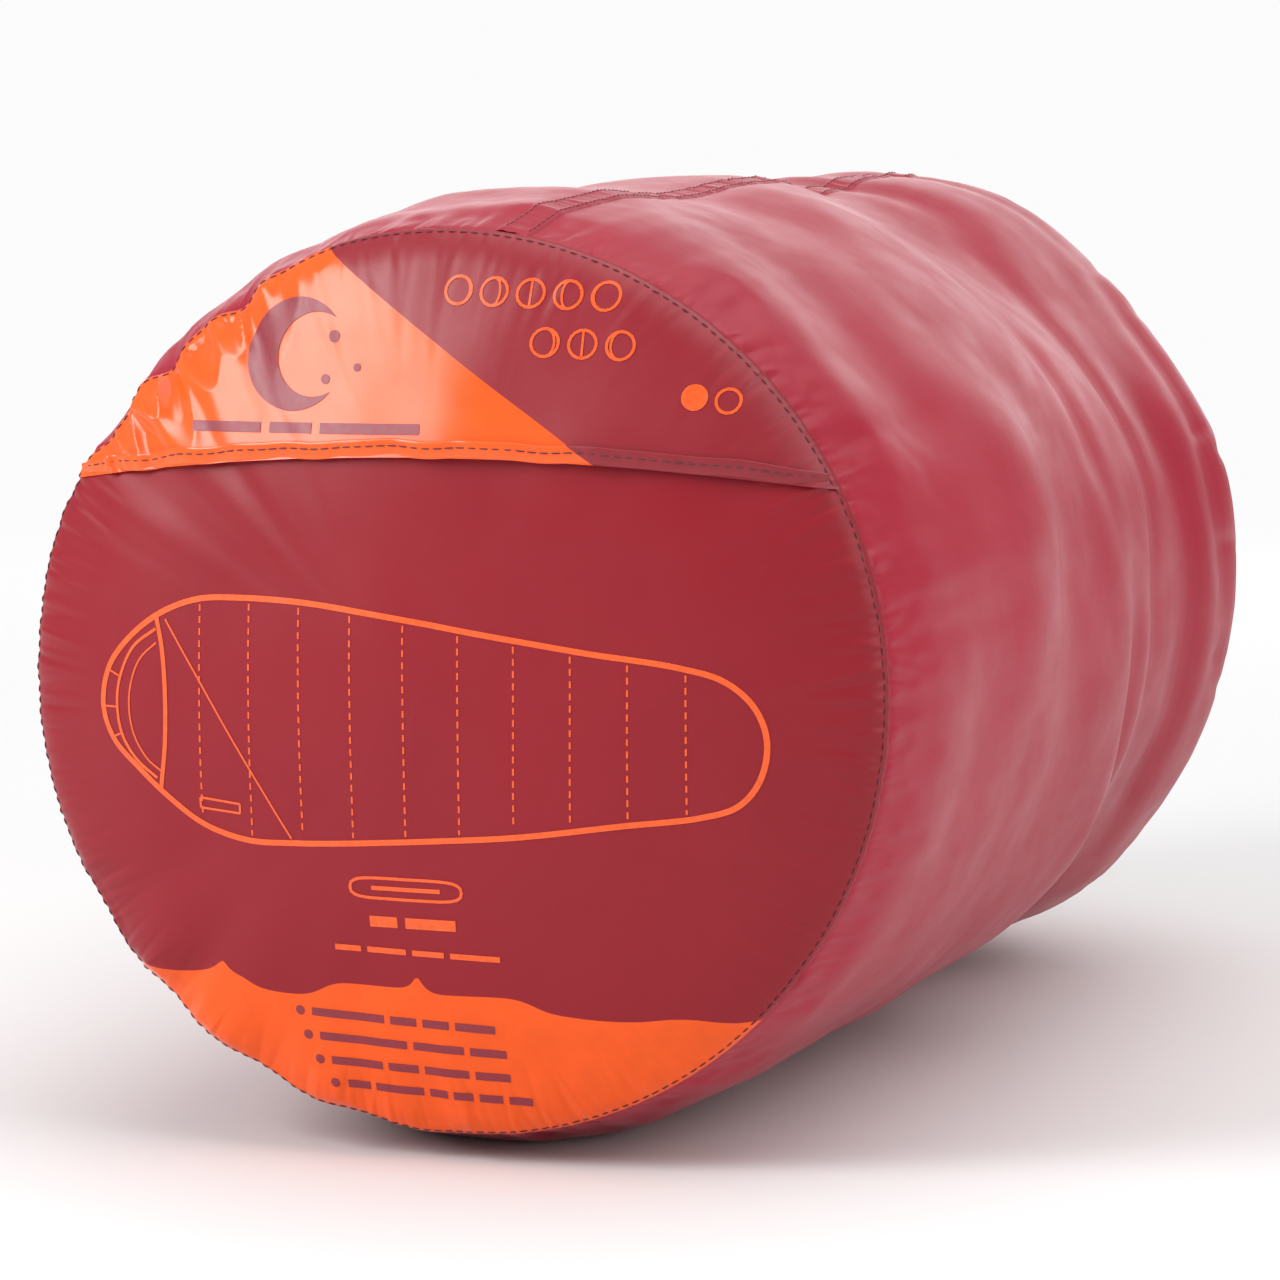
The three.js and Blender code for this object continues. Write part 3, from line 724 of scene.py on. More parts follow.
def wall_points(angle, distance):
    """Points of the wall cloth at angles round the axis and distances from the base seam."""
    y, radius, slope = profile_at(distance)
    height = lumps(angle, distance) + folds(angle, distance)
    height += wrinkles(angle, distance) * smooth_step(distance, 0, 0.03)
    height += gathers(angle, distance) * smooth_step(distance, WALL_L * 0.5, WALL_L * 0.9)
    height += seam_ripple(angle, distance) * smooth_step(distance, -0.002, 0.0025)
    height += long_streaks(angle, distance) + side_seam_ripple(angle, distance)
    height -= 1.6 * MM * np.exp(-distance / (1.4 * MM))
    radius = radius - (BASE_R - seam_radius(angle)) * np.exp(-((distance / (11 * MM)) ** 1.4))
    points = ring_points(angle, y, radius) + outward(angle, slope) * height[..., None]
    points[..., 2] = np.maximum(points[..., 2], 0.15 * MM)
    return points


def wall_grid(columns, distances):
    a, d = np.meshgrid(np.arange(columns) * TAU / columns, distances)
    return wall_points(a, d)


def make_wall():
    """The wall in one mesh: a band of fine columns beside the base seam, then coarser ones."""
    fine = BAND_SPLIT * WALL_COLUMNS
    band = BAND * np.linspace(0, 1, 15) ** 1.25
    rest = BAND + (PROFILE_LENGTH[-1] - BAND) * eased_rows(104)[1:]
    band_points = wall_grid(fine, band).reshape(-1, 3)
    rest_points = wall_grid(WALL_COLUMNS, rest).reshape(-1, 3)
    last = len(band_points) - fine
    faces = grid_faces(len(band), fine, True) + grid_faces(len(rest), WALL_COLUMNS, True, len(band_points))
    for j in range(WALL_COLUMNS):
        upper = [last + (j * BAND_SPLIT + k) % fine for k in range(BAND_SPLIT + 1)]
        lower = [len(band_points) + (j + 1) % WALL_COLUMNS, len(band_points) + j]
        faces.append(tuple(upper + lower))
    return new_object("wall_cloth", np.concatenate([band_points, rest_points]), faces, looks["wall"])


def eased_rows(count):
    """Shares from 0 to 1 that lie closer together at both ends."""
    t = np.linspace(0, 1, count)
    return t - 0.09 * np.sin(TAU * t) / TAU * 3


def dome_height(x, z):
    """How far the base bulges out in front of its seam, with x and z from the sack's axis."""
    rho = np.minimum(1, np.hypot(x, z) / seam_radius(np.arctan2(x, z)))
    return DOME * (1 - rho ** 2) ** 0.7 + 1.2 * MM


def from_seam(x, z):
    """How far inside the seam a place on the base is."""
    return np.maximum(0, seam_radius(np.arctan2(x, z)) - np.hypot(x, z))


def base_surface(x, z):
    """y of the base cloth at x and z from the axis."""
    away = from_seam(x, z)
    height = dome_height(x, z) + waves(x, z, 51, 0.09) * 0.5 * MM * smooth_step(away, 0, 0.04)
    height += waves(x, z * 0.7, 52, 0.035) * 0.12 * MM
    height += seam_ripple(np.arctan2(x, z), away * 0.85) * 0.9 + low_folds(np.arctan2(x, z), away)
    height -= 1.5 * MM * np.exp(-away / (1.6 * MM))
    under_flap = smooth_step(z - flap_edge(x), 3 * MM, 12 * MM) * smooth_step(away, 0, 5 * MM)
    return SEAM_Y - height + 2.2 * MM * under_flap


def make_base():
    """A disc of cloth: coarse rings in the middle, finer columns near the seam, and an edge turned in."""
    inner_columns, outer_columns = 420, 1680
    split = outer_columns // inner_columns
    inner = np.linspace(0, 0.84, 44)[1:]
    outer = 0.84 + 0.16 * (1 - np.linspace(1, 0, 25)[1:] ** 1.3)
    grids = []
    for columns, share in ((inner_columns, inner), (outer_columns, outer)):
        a, s = np.meshgrid(np.arange(columns) * TAU / columns, share)
        x, z = seam_radius(a) * s * np.sin(a), seam_radius(a) * s * np.cos(a)
        grids.append(np.stack([x, base_surface(x, z), z + AXIS_Z], -1).reshape(-1, 3))
    angle = np.arange(outer_columns) * TAU / outer_columns
    rim_y = grids[-1][-outer_columns:, 1]
    for inwards, back in ((0.9 * MM, 0.9 * MM), (2.4 * MM, 1.9 * MM)):
        grids.append(ring_points(angle, rim_y + back, seam_radius(angle) - inwards))
    middle = [[0, float(base_surface(np.array(0.0), np.array(0.0))), AXIS_Z]]
    second = 1 + len(grids[0])
    last = second - inner_columns
    faces = [(0, 1 + i, 1 + (i + 1) % inner_columns) for i in range(inner_columns)]
    faces += grid_faces(len(inner), inner_columns, True, 1, flip=True)
    faces += grid_faces(len(outer) + 2, outer_columns, True, second, flip=True)
    for j in range(inner_columns):
        wide = [second + (j * split + k) % outer_columns for k in range(split + 1)]
        faces.append(tuple([last + (j + 1) % inner_columns, last + j] + wide))
    return new_object("base_cloth", np.concatenate([middle] + grids), faces, looks["base"])


def flap_edge(x):
    """Height of the flap's free edge above the axis."""
    half = math.sqrt(BASE_R ** 2 - CHORD_Z ** 2)
    return CHORD_Z + CHORD_ARCH * (1 - (x / half) ** 2) + 0.6 * MM + 0.011 * x


def flap_lift(x, z):
    """Room behind the flap: widest at the middle of its free edge."""
    above = np.maximum(0, z - flap_edge(x))
    side = np.clip(1 - (x / (0.93 * BASE_R)) ** 2, 0, 1)
    return (0.5 + 1.9 * side * np.exp(-above / (16 * MM))) * MM


def crumple(x, z):
    """The creased left border of the flap."""
    away = from_seam(x, z)
    left = smooth_step(-x, 4 * MM, 66 * MM) * np.exp(-away / (14 * MM))
    ridges = waves(x * 0.8 + z * 0.6, (x * 0.6 - z * 0.8) * 0.5, 61, 0.018, count=7)
    sharp = 0.6 - np.minimum(np.abs(ridges), 1.4)
    return left * (2.6 * sharp + 1.1 * waves(x, z, 62, 0.034)) * MM


def flap_surface(x, z):
    """y of the flap, never closer than half a millimetre to the base behind it."""
    away = from_seam(x, z)
    height = dome_height(x, z) + flap_lift(x, z) * smooth_step(away, 0, 8 * MM) + 0.5 * MM
    height += waves(x, z, 53, 0.05) * 0.35 * MM * smooth_step(away, 0, 0.03)
    height += 0.75 * base_puckers((np.arctan2(x, z) % TAU) * BASE_R, away)
    height += crumple(x, z) * smooth_step(away, 0, 2 * MM)
    height -= 1.5 * MM * np.exp(-away / (1.6 * MM))
    clear = SEAM_Y - height - base_surface(x, z) + 0.5 * MM
    return base_surface(x, z) - 0.5 * MM - 0.5 * (np.sqrt(clear ** 2 + (0.4 * MM) ** 2) - clear)


def flap_ends(margin):
    """Where the flap's free edge comes within margin of the seam, on the left and on the right."""
    x = np.linspace(-BASE_R, BASE_R, 4001)
    rho = np.hypot(x, flap_edge(x))
    inside = x[rho < seam_radius(np.arctan2(x, flap_edge(x))) - margin]
    return inside[0], inside[-1]


def make_flap():
    columns, rows = 420, 110
    left, right = flap_ends(0.3 * MM)
    ease = np.sin(np.linspace(-1, 1, columns) * math.pi / 2)
    across = (left + right) / 2 + (right - left) / 2 * ease
    up = np.linspace(0, 1, rows) ** 0.85
    x, t = np.meshgrid(across, up)
    low = flap_edge(x)
    a = np.linspace(-TAU / 4, TAU / 4, 2400)
    rim = seam_radius(a) - 0.2 * MM
    high = np.maximum(np.interp(x, rim * np.sin(a), rim * np.cos(a)), low + 0.2 * MM)
    z = low + (high - low) * t
    front = np.stack([x, flap_surface(x, z), z + AXIS_Z], -1)
    return new_object("flap_cloth", front.reshape(-1, 3), grid_faces(rows, columns), looks["flap"])


def sweep(name, centre, side, up, section, material, closed=False, caps=True):
    """A closed section (pairs along side and up) carried along centre points."""
    rings = centre[:, None, :] + section[None, :, 0:1] * side[:, None, :]
    rings = rings + section[None, :, 1:2] * up[:, None, :]
    rows, columns = rings.shape[:2]
    points = rings.reshape(-1, 3)
    if closed:
        faces = grid_faces(rows, columns, True)
        last = (rows - 1) * columns
        faces += [(last + j, last + (j + 1) % columns, (j + 1) % columns, j) for j in range(columns)]
    else:
        faces = grid_faces(rows, columns, True)
        if caps:
            faces += [tuple(range(columns))[::-1], tuple(range((rows - 1) * columns, rows * columns))]
    return new_object(name, points, faces, material)


def oval(width, height, count=16, power=0.6):
    """A rounded, flattened section."""
    a = np.arange(count) * TAU / count
    c, s = np.cos(a), np.sin(a)
    return np.stack([width / 2 * np.sign(c) * np.abs(c) ** power,
                     height / 2 * np.sign(s) * np.abs(s) ** power], 1)


HEM_VISIBLE = 4.4 * MM


def make_hem():
    """The flap's free edge: cloth folded twice, a flat band with a rounded lower edge."""
    count = 360
    left, right = flap_ends(2.2 * MM)
    x = np.linspace(left, right, count)
    wave = waves(x, 0 * x, 71, 0.02) * 0.25 * MM
    z = flap_edge(x) + HEM_VISIBLE / 2 + wave
    fade = smooth_step(np.minimum(x - left, right - x), 0, 12 * MM)
    y = flap_surface(x, z) - 0.2 * MM + waves(x, 0 * x, 72, 0.011) * 0.1 * MM
    centre = np.stack([x, y, z + AXIS_Z], -1)
    along = np.gradient(centre, axis=0)
    along /= np.linalg.norm(along, axis=1, keepdims=True)
    outward = np.stack([0 * x, 0 * x - 1, 0 * x], -1)
    upward = np.cross(along, outward)
    upward /= np.linalg.norm(upward, axis=1, keepdims=True)
    upward *= np.sign(upward[:, 2:3])
    outward = np.cross(upward, along)
    outward *= -np.sign(outward[:, 1:2])
    section = oval(HEM_VISIBLE, 1.1 * MM, 20, 0.5)
    width = (0.6 + 0.4 * fade)[:, None]
    return sweep("flap_hem_fold", centre, upward * width, outward, section, looks["hem"])


# ---------- stitching ----------
def stitches(name, points, outward, material, length=2.5 * MM, gap=0.5 * MM, thick=0.42 * MM, closed=False):
    """Thread laid along points in separate stitches, each a small rounded bar bent down at its ends."""
    points, outward = np.asarray(points, float), np.asarray(outward, float)
    if closed:
        points, outward = np.vstack([points, points[:1]]), np.vstack([outward, outward[:1]])
    travelled = np.concatenate([[0], np.cumsum(np.linalg.norm(np.diff(points, axis=0), axis=1))])
    count = int(travelled[-1] / (length + gap))
    pitch = travelled[-1] / count
    vertices, faces = [], []
    around, steps = 6, 5
    turn = np.arange(around) * TAU / around
    for number in range(count):
        start = number * pitch + gap / 2
        at = start + np.linspace(0, pitch - gap, steps)
        centre = np.stack([np.interp(at, travelled, points[:, k]) for k in range(3)], 1)
        up = np.stack([np.interp(at, travelled, outward[:, k]) for k in range(3)], 1)
        up /= np.linalg.norm(up, axis=1, keepdims=True)
        along = np.gradient(centre, axis=0)
        along /= np.maximum(np.linalg.norm(along, axis=1, keepdims=True), 1e-9)
        side = np.cross(along, up)
        rise = np.array([-0.55, 0.12, 0.3, 0.12, -0.55])[:, None] * thick
        size = np.array([0.62, 1, 1, 1, 0.62])[:, None, None] * thick / 2
        ring = (centre + up * rise)[:, None] + size * (np.cos(turn)[None, :, None] * side[:, None]
                                                       + np.sin(turn)[None, :, None] * up[:, None])
        first = len(vertices)
        vertices += ring.reshape(-1, 3).tolist()
        faces += grid_faces(steps, around, True, first)
        faces.append(tuple(range(first, first + around))[::-1])
        faces.append(tuple(range(first + (steps - 1) * around, first + steps * around)))
    return new_object(name, vertices, faces, material)


def make_base_stitches():
    angle = np.linspace(0, TAU, 1800, endpoint=False)
    radius = seam_radius(angle) - 0.8 * MM
    x, z = radius * np.sin(angle), radius * np.cos(angle)
    y = np.where(z > flap_edge(x), flap_surface(x, z), base_surface(x, z)) - 0.05 * MM
    outward = np.stack([0.7 * np.sin(angle), -1 + 0 * angle, 0.7 * np.cos(angle)], -1)
    return stitches("base_seam_stitches", ring_points(angle, y, radius), outward, looks["thread"],
                    closed=True)


def make_hem_stitches():
    x = np.linspace(*flap_ends(3.4 * MM), 500)
    z = flap_edge(x) + waves(x, 0 * x, 71, 0.02) * 0.25 * MM + 2.6 * MM
    y = flap_surface(x, z) - 0.95 * MM
    points = np.stack([x, y, z + AXIS_Z], -1)
    return stitches("hem_stitches", points, [(0, -1, 0)] * len(points), looks["thread"], thick=0.36 * MM)


def make_side_seam():
    """The lapped seam on top: a folded strip of cloth that stands a little above the wall."""
    width = 9 * MM
    d, share = np.meshgrid(np.linspace(2 * MM, PROFILE_LENGTH[-1] * 0.9, 420), np.linspace(-1, 1, 15),
                           indexing="ij")
    _, radius, slope = profile_at(d)
    turn = SEAM_LEAN + share * width / 2 / radius
    rise = 0.95 * MM * (1 - np.abs(share) ** 8) - 0.3 * MM
    rise += 0.2 * side_puckers(d, np.abs(share) * width / 2)
    points = wall_points(turn, d) + outward(turn, slope) * rise[..., None]
    return new_object("side_seam_fold", points.reshape(-1, 3), grid_faces(*d.shape, flip=True), looks["seam"])


def make_side_stitches(name, offset):
    distance = np.linspace(5 * MM, PROFILE_LENGTH[-1] * 0.89, 900)
    _, radius, slope = profile_at(distance)
    angle = SEAM_LEAN + offset / radius
    up = outward(angle, slope)
    points = wall_points(angle, distance) + up * 0.72 * MM
    return stitches(name, points, up, looks["thread_lit"], thick=0.3 * MM)


# ---------- prints ----------
def smooth_line(points, closed=False, per=14):
    """A centripetal Catmull-Rom curve through given points, in two or three dimensions."""
    p = np.array(points, float)
    p = np.vstack([p[-1:], p, p[:2]]) if closed else np.vstack([2 * p[:1] - p[1:2], p, 2 * p[-1:] - p[-2:-1]])
    out = []
    for a, b, c, d in zip(p[:-3], p[1:-2], p[2:-1], p[3:]):
        knots = np.cumsum([0] + [max(math.sqrt(np.linalg.norm(v - u)), 1e-6)
                                 for u, v in ((a, b), (b, c), (c, d))])
        for t in knots[1] + (knots[2] - knots[1]) * np.arange(per) / per:
            ab = (a * (knots[1] - t) + b * (t - knots[0])) / (knots[1] - knots[0])
            bc = (b * (knots[2] - t) + c * (t - knots[1])) / (knots[2] - knots[1])
            cd = (c * (knots[3] - t) + d * (t - knots[2])) / (knots[3] - knots[2])
            abc = (ab * (knots[2] - t) + bc * (t - knots[0])) / (knots[2] - knots[0])
            bcd = (bc * (knots[3] - t) + cd * (t - knots[1])) / (knots[3] - knots[1])
            out.append((abc * (knots[2] - t) + bcd * (t - knots[1])) / (knots[2] - knots[1]))
    if not closed:
        out.append(p[-2])
    return np.array(out)


class Print:
    """Ink lines laid on a surface y = surface(x, z), gathered into one mesh. Lengths in millimetres."""

    def __init__(self, surface, lift):
        self.surface, self.lift = surface, lift
        self.points, self.faces = [], []

    def ribbon(self, line, width, closed=False, step=1.2):
        line = np.array(line, float)
        if closed:
            line = np.vstack([line, line[:1]])
        travelled = np.concatenate([[0], np.cumsum(np.linalg.norm(np.diff(line, axis=0), axis=1))])
        count = max(2, int(travelled[-1] / step) + 1)
        at = np.linspace(0, travelled[-1], count)
        x, z = (np.interp(at, travelled, line[:, k]) for k in (0, 1))
        if closed:
            dx = np.gradient(np.concatenate([x[-3:-1], x, x[1:3]]))[2:-2]
            dz = np.gradient(np.concatenate([z[-3:-1], z, z[1:3]]))[2:-2]
        else:
            dx, dz = np.gradient(x), np.gradient(z)
        size = np.maximum(np.hypot(dx, dz), 1e-9)
        nx, nz = -dz / size, dx / size
        wide = np.broadcast_to(np.asarray(width, float), x.shape) if np.ndim(width) == 0 else np.interp(
            np.linspace(0, 1, count), np.linspace(0, 1, len(width)), width)
        across = max(3, int(np.max(wide) / 1.0) + 2)
        share = np.linspace(-0.5, 0.5, across)
        px = (x[:, None] + nx[:, None] * wide[:, None] * share) * MM
        pz = (z[:, None] + nz[:, None] * wide[:, None] * share) * MM
        self.patch(px, pz)

    def patch(self, px, pz):
        py = self.surface(px, pz) - self.lift
        first = len(self.points)
        self.points += np.stack([px, py, pz + AXIS_Z], -1).reshape(-1, 3).tolist()
        self.faces += grid_faces(*px.shape, start=first)

    def dashes(self, start, end, width, dash=1.7, gap=1.3):
        start, end = np.array(start, float), np.array(end, float)
        length = np.linalg.norm(end - start)
        for at in np.arange(0, length - dash * 0.5, dash + gap):
            a, b = at / length, min(1, (at + dash) / length)
            self.ribbon([start + (end - start) * a, start + (end - start) * b], width, step=0.6)

    def arc(self, centre, radius, start, end, width):
        turn = np.radians(np.linspace(start, end, 48))
        self.ribbon(np.stack([centre[0] + radius * np.cos(turn),
                              centre[1] + radius * np.sin(turn)], 1), width)

    def disc(self, centre, radius):
        turn = np.linspace(0, TAU, 33)
        reach = np.linspace(0, radius, 4)
        x = centre[0] + np.outer(np.cos(turn), reach)
        z = centre[1] + np.outer(np.sin(turn), reach)
        self.patch(x * MM, z * MM)

    def words(self, left, level, lengths, height, gap=None, slope=0.0):
        """Plain bars where a line of small print would be."""
        at = left
        gap = height * 0.8 if gap is None else gap
        for length in lengths:
            ends = [(at, level + slope * (at - left)),
                    (at + length, level + slope * (at + length - left))]
            self.ribbon(ends, height, step=1.5)
            at += length + gap
        return at

    def finish(self, name, material):
        thing = new_object(name, self.points, self.faces, material)
        clean = bmesh.new()
        clean.from_mesh(thing.data)
        bmesh.ops.remove_doubles(clean, verts=clean.verts, dist=1e-6)
        bmesh.ops.recalc_face_normals(clean, faces=clean.faces)
        clean.to_mesh(thing.data)
        clean.free()
        return thing


BAG_OUTLINE = [  # a tapered, hooded sleeping bag seen from above, foot to the right
    (-89.5, -7), (-87.5, 3), (-80.5, 11.5), (-71, 18), (-61, 21.5), (-50, 22.3), (-32, 22), (-10, 19.6),
    (16, 15.8), (42, 12), (66, 8.8), (77, 5.6), (84, -0.5), (87, -9), (85.2, -18.5), (80, -24.8),
    (71, -27.8), (51, -30.4), (25, -34), (-10, -37), (-34, -38.6), (-48, -38.6), (-60, -35.6), (-69, -30),
    (-79, -22), (-86.5, -15),
]


def make_bag_print():
    drawing = Print(base_surface, 0.14 * MM)
    outline = smooth_line(BAG_OUTLINE, closed=True)
    drawing.ribbon(outline, 1.5, closed=True)
    upper = [p for p in outline if p[1] > -8 + 0.02 * p[0]]
    lower = [p for p in outline if p[1] <= -8 + 0.02 * p[0]]
    upper.sort(key=lambda p: p[0])
    lower.sort(key=lambda p: p[0])
    for x in np.linspace(-60.5, 67.5, 10):
        top = np.interp(x, [p[0] for p in upper], [p[1] for p in upper]) - 1.4
        bottom = np.interp(x, [p[0] for p in lower], [p[1] for p in lower]) + 1.4
        drawing.dashes((x, top), (x, bottom), 0.5)
    neck = smooth_line([(-73, 16.5), (-71.2, 8), (-70.4, -4), (-70.8, -16), (-72.4, -27)])
    drawing.ribbon(neck, 1.2)
    face = smooth_line([(-73.2, 13.5), (-80, 8.5), (-84.2, 0), (-85, -7), (-83.6, -14), (-79.4, -20),
                        (-73.4, -24.4)])
    drawing.ribbon(face, 0.8)
    hood = smooth_line([(-73, 10), (-78, 5.5), (-80.8, -1.5), (-81.2, -8), (-79.6, -14.5), (-75.8, -20),
                        (-72.2, -22.5)])
    drawing.ribbon(hood, 0.5)
    for x, z, dx, dz in ((-84.4, 1, -3.6, 1.6), (-85, -7, -4, 0), (-83.8, -13.6, -3.4, -1.4)):
        drawing.ribbon([(x, z), (x + dx, z + dz)], 0.5)
    drawing.ribbon([(-70.4, 16), (-35.2, -37.6)], 0.5)
    drawing.ribbon([(-61, -28.6), (-49.6, -29.6)], 0.6)
    drawing.ribbon([(-61, -31.2), (-49.6, -32)], 0.6)
    drawing.ribbon([(-61, -28.6), (-61, -31.2)], 0.6)
    drawing.ribbon([(-49.6, -29.6), (-49.6, -32)], 0.6)
    return drawing.finish("bag_drawing_print", looks["ink"])


def make_base_labels():
    """Plain marks under the drawing, where a size and a comfort rating would be printed."""
    label = Print(base_surface, 0.14 * MM)
    turn = np.radians(np.linspace(0, 360, 60, endpoint=False))
    squash = np.stack([np.sign(np.cos(turn)) * np.abs(np.cos(turn)) ** 0.35 * 15,
                       np.sign(np.sin(turn)) * np.abs(np.sin(turn)) ** 0.7 * 2.6], 1)
    label.ribbon(squash + np.array([-4.3, -48.6]), 0.8, closed=True)
    label.words(-13.5, -48.6, [18.5], 1.1)
    label.words(-14.5, -57.2, [7.5, 13.5], 2.8, 2.2)
    label.words(-24.5, -64.4, [7, 10.5, 8.5, 13], 1.5, 1.7, -0.02)
    return label.finish("base_label_print", looks["ink"])


def make_hill_labels():
    """Four lines of plain bars with a dot before each, in cloth colour on the inked hills."""
    label = Print(base_surface, 0.14 * MM)
    lines = (((-36.5, -82.2), [20, 7, 7, 10.5]), ((-35, -88.6), [24, 13.5, 9.5]),
             ((-32.5, -95.0), [14, 8, 12, 9]), ((-29, -101.2), [6, 13, 5, 5, 6, 6]))
    for (x, z), lengths in lines:
        label.disc((x, z), 1.25)
        label.words(x + 3.4, z, lengths, 2.1, 1.7, -0.035)
    return label.finish("hill_label_print", looks["ink_dark"])


def make_flap_labels():
    """Two rows of thin rings in the phases of the moon, and a full one below, in place of lettering."""
    label = Print(flap_surface, 0.18 * MM)
    for row_x, row_z, phases in ((6.5, 99.2, (0.9, 0.45, 0.0, -0.45, -0.9)), (30, 86.8, (0.7, 0.0, -0.7))):
        for number, phase in enumerate(phases):
            centre = (row_x + 9.3 * number, row_z - 0.3 * number)
            label.arc(centre, 3.4, 0, 360, 0.75)
            turn = np.radians(np.linspace(-90, 90, 24))
            label.ribbon(np.stack([centre[0] + 3.4 * phase * np.cos(turn),
                                   centre[1] + 3.4 * np.sin(turn)], 1), 0.6)
    label.disc((67.5, 74), 3.2)
    label.arc((75.5, 73.2), 2.9, 0, 360, 0.75)
    return label.finish("flap_label_print", looks["ink"])


def make_moon():
    """A plain crescent and three dots of a night sky on the flap's wedge."""
    moon = Print(flap_surface, 0.2 * MM)
    turn = np.radians(np.linspace(40, 320, 60))
    share = np.linspace(0, 1, 9)
    centre_x, centre_z, radius = -36.0, 83.0, 14.0
    outer = np.stack([centre_x + radius * np.cos(turn), centre_z + radius * np.sin(turn)], 1)
    inner_turn = np.radians(np.linspace(62, 298, 60))
    inner = np.stack([centre_x + 5.4 + 10.4 * np.cos(inner_turn), centre_z + 10.4 * np.sin(inner_turn)], 1)
    inner[0], inner[-1] = outer[0], outer[-1]
    x = outer[:, None, 0] * (1 - share) + inner[:, None, 0] * share
    z = outer[:, None, 1] * (1 - share) + inner[:, None, 1] * share
    moon.patch(x * MM, z * MM)
    for place, size in (((-25.5, 87.5), 1.5), ((-18.5, 80), 1.0), ((-27, 77), 1.2)):
        moon.disc(place, size)
    moon.words(-64, 64.6, [20, 12, 27], 2.6, 2.4, 0.012)
    return moon.finish("moon_print", looks["ink_dark"])


# ---------- mouth ----------
RUFFLE_PROFILE = [  # radius and distance past the channel's start in mm: tunnel, frill, and back inside
    (18.6, -1.6), (19.6, 1.0), (20.2, 4.0), (20.3, 7.5), (19.5, 11.0), (18.0, 13.6), (17.6, 14.6),
    (18.6, 16.0),
    (20.6, 18.2), (23.0, 20.4), (24.0, 21.2), (23.5, 21.9), (21.6, 20.6), (18.6, 18.0), (15.6, 15.8),
    (14.0, 14.2), (13.4, 11.0), (12.7, 7.0), (12.5, 3.0), (13.2, -0.5), (14.6, -2.4),
]
FRILL_WAVES = 17


def ruffle_points(columns=720):
    """The tunnel and its frill, pleated all round."""
    line = smooth_line(RUFFLE_PROFILE, per=6) * MM
    travelled = np.concatenate([[0], np.cumsum(np.linalg.norm(np.diff(line, axis=0), axis=1))])
    tangent = np.gradient(line, axis=0)
    tangent /= np.linalg.norm(tangent, axis=1, keepdims=True)
    normal = np.stack([tangent[:, 1], -tangent[:, 0]], -1)
    angle = np.arange(columns) * TAU / columns
    a, s = np.meshgrid(angle, travelled)
    past = np.interp(travelled, travelled, line[:, 1])[:, None]
    frill = smooth_step(past, 13.5 * MM, 22 * MM)
    cinched = np.exp(-((past - 14.2 * MM) / (1.6 * MM)) ** 2)
    wobble = waves(a * 0.02, s, 81, 0.02, period=TAU * 0.02) * 0.5
    pleat = np.cos(2 * GATHERS * a + wobble) * (0.38 + 0.25 * cinched)
    pleat += np.cos(GATHERS * a + 1.0 + 2 * wobble) * 0.45
    flutter = np.cos(FRILL_WAVES * a + 1.5 * wobble) * 1.7 + np.cos(7 * a + 0.8 + wobble) * 0.8
    calm = 1 - 0.45 * np.exp(-((a - math.pi) / 0.35) ** 2)      # beside the lock
    lift = (pleat * (1 - 0.4 * frill) + flutter * frill * calm) * MM
    side = np.where(travelled[:, None] > travelled[np.argmax(line[:, 1])], -1.0, 1.0)
    blend = smooth_step(np.abs(travelled[:, None] - travelled[np.argmax(line[:, 1])]), 0, 2.0 * MM)
    radius = line[:, 0][:, None] + normal[:, 0][:, None] * lift * side * blend
    radius += (1 - blend) * 0.7 * lift
    y = CHANNEL_Y + line[:, 1][:, None] + normal[:, 1][:, None] * lift * side * blend
    y = y - (1 - blend) * 0.7 * lift
    return ring_points(a, y, radius), s


def make_ruffle():
    points, _ = ruffle_points()
    rows, columns = points.shape[:2]
    flat = points.reshape(-1, 3)
    eyelet = np.array([0, EYELET_Y, AXIS_Z - 19.3 * MM])
    outer_rows = 60
    faces = []
    for face in grid_faces(rows, columns, True):
        middle = flat[list(face)].mean(0)
        near = math.hypot(middle[0] - eyelet[0], middle[1] - eyelet[1]) < EYELET_R
        if not (near and middle[2] < AXIS_Z - 16.5 * MM and face[0] < outer_rows * columns):
            faces.append(face)
    return new_object("mouth_ruffle", flat, faces, looks["wall"])


def make_ruffle_stitches():
    """The row of stitches that closes the cord's tunnel below the frill."""
    angle = np.arange(720) * TAU / 720
    row = RUFFLE_PROFILE.index((18.0, 13.6)) * 6 + 3
    points, _ = ruffle_points()
    up = outward(angle, np.zeros(720))
    return stitches("mouth_stitches", points[row] + up * 0.12 * MM, up, looks["thread_lit"], thick=0.34 * MM,
                    closed=True)


# ---------- cord, knot and lock ----------
eyelet_low, eyelet_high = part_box("channel_eyelet")
lock_low, lock_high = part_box("cord_lock_body")
EYELET_Y = (eyelet_low.y + eyelet_high.y) / 2
EYELET_R = 4.4 * MM
LOCK_Y = (lock_low.y + lock_high.y) / 2
LOCK_Z = (lock_low.z + lock_high.z) / 2
CORD_R = 1.3 * MM
RING_R = 15 * MM
STRAND = 1.7 * MM


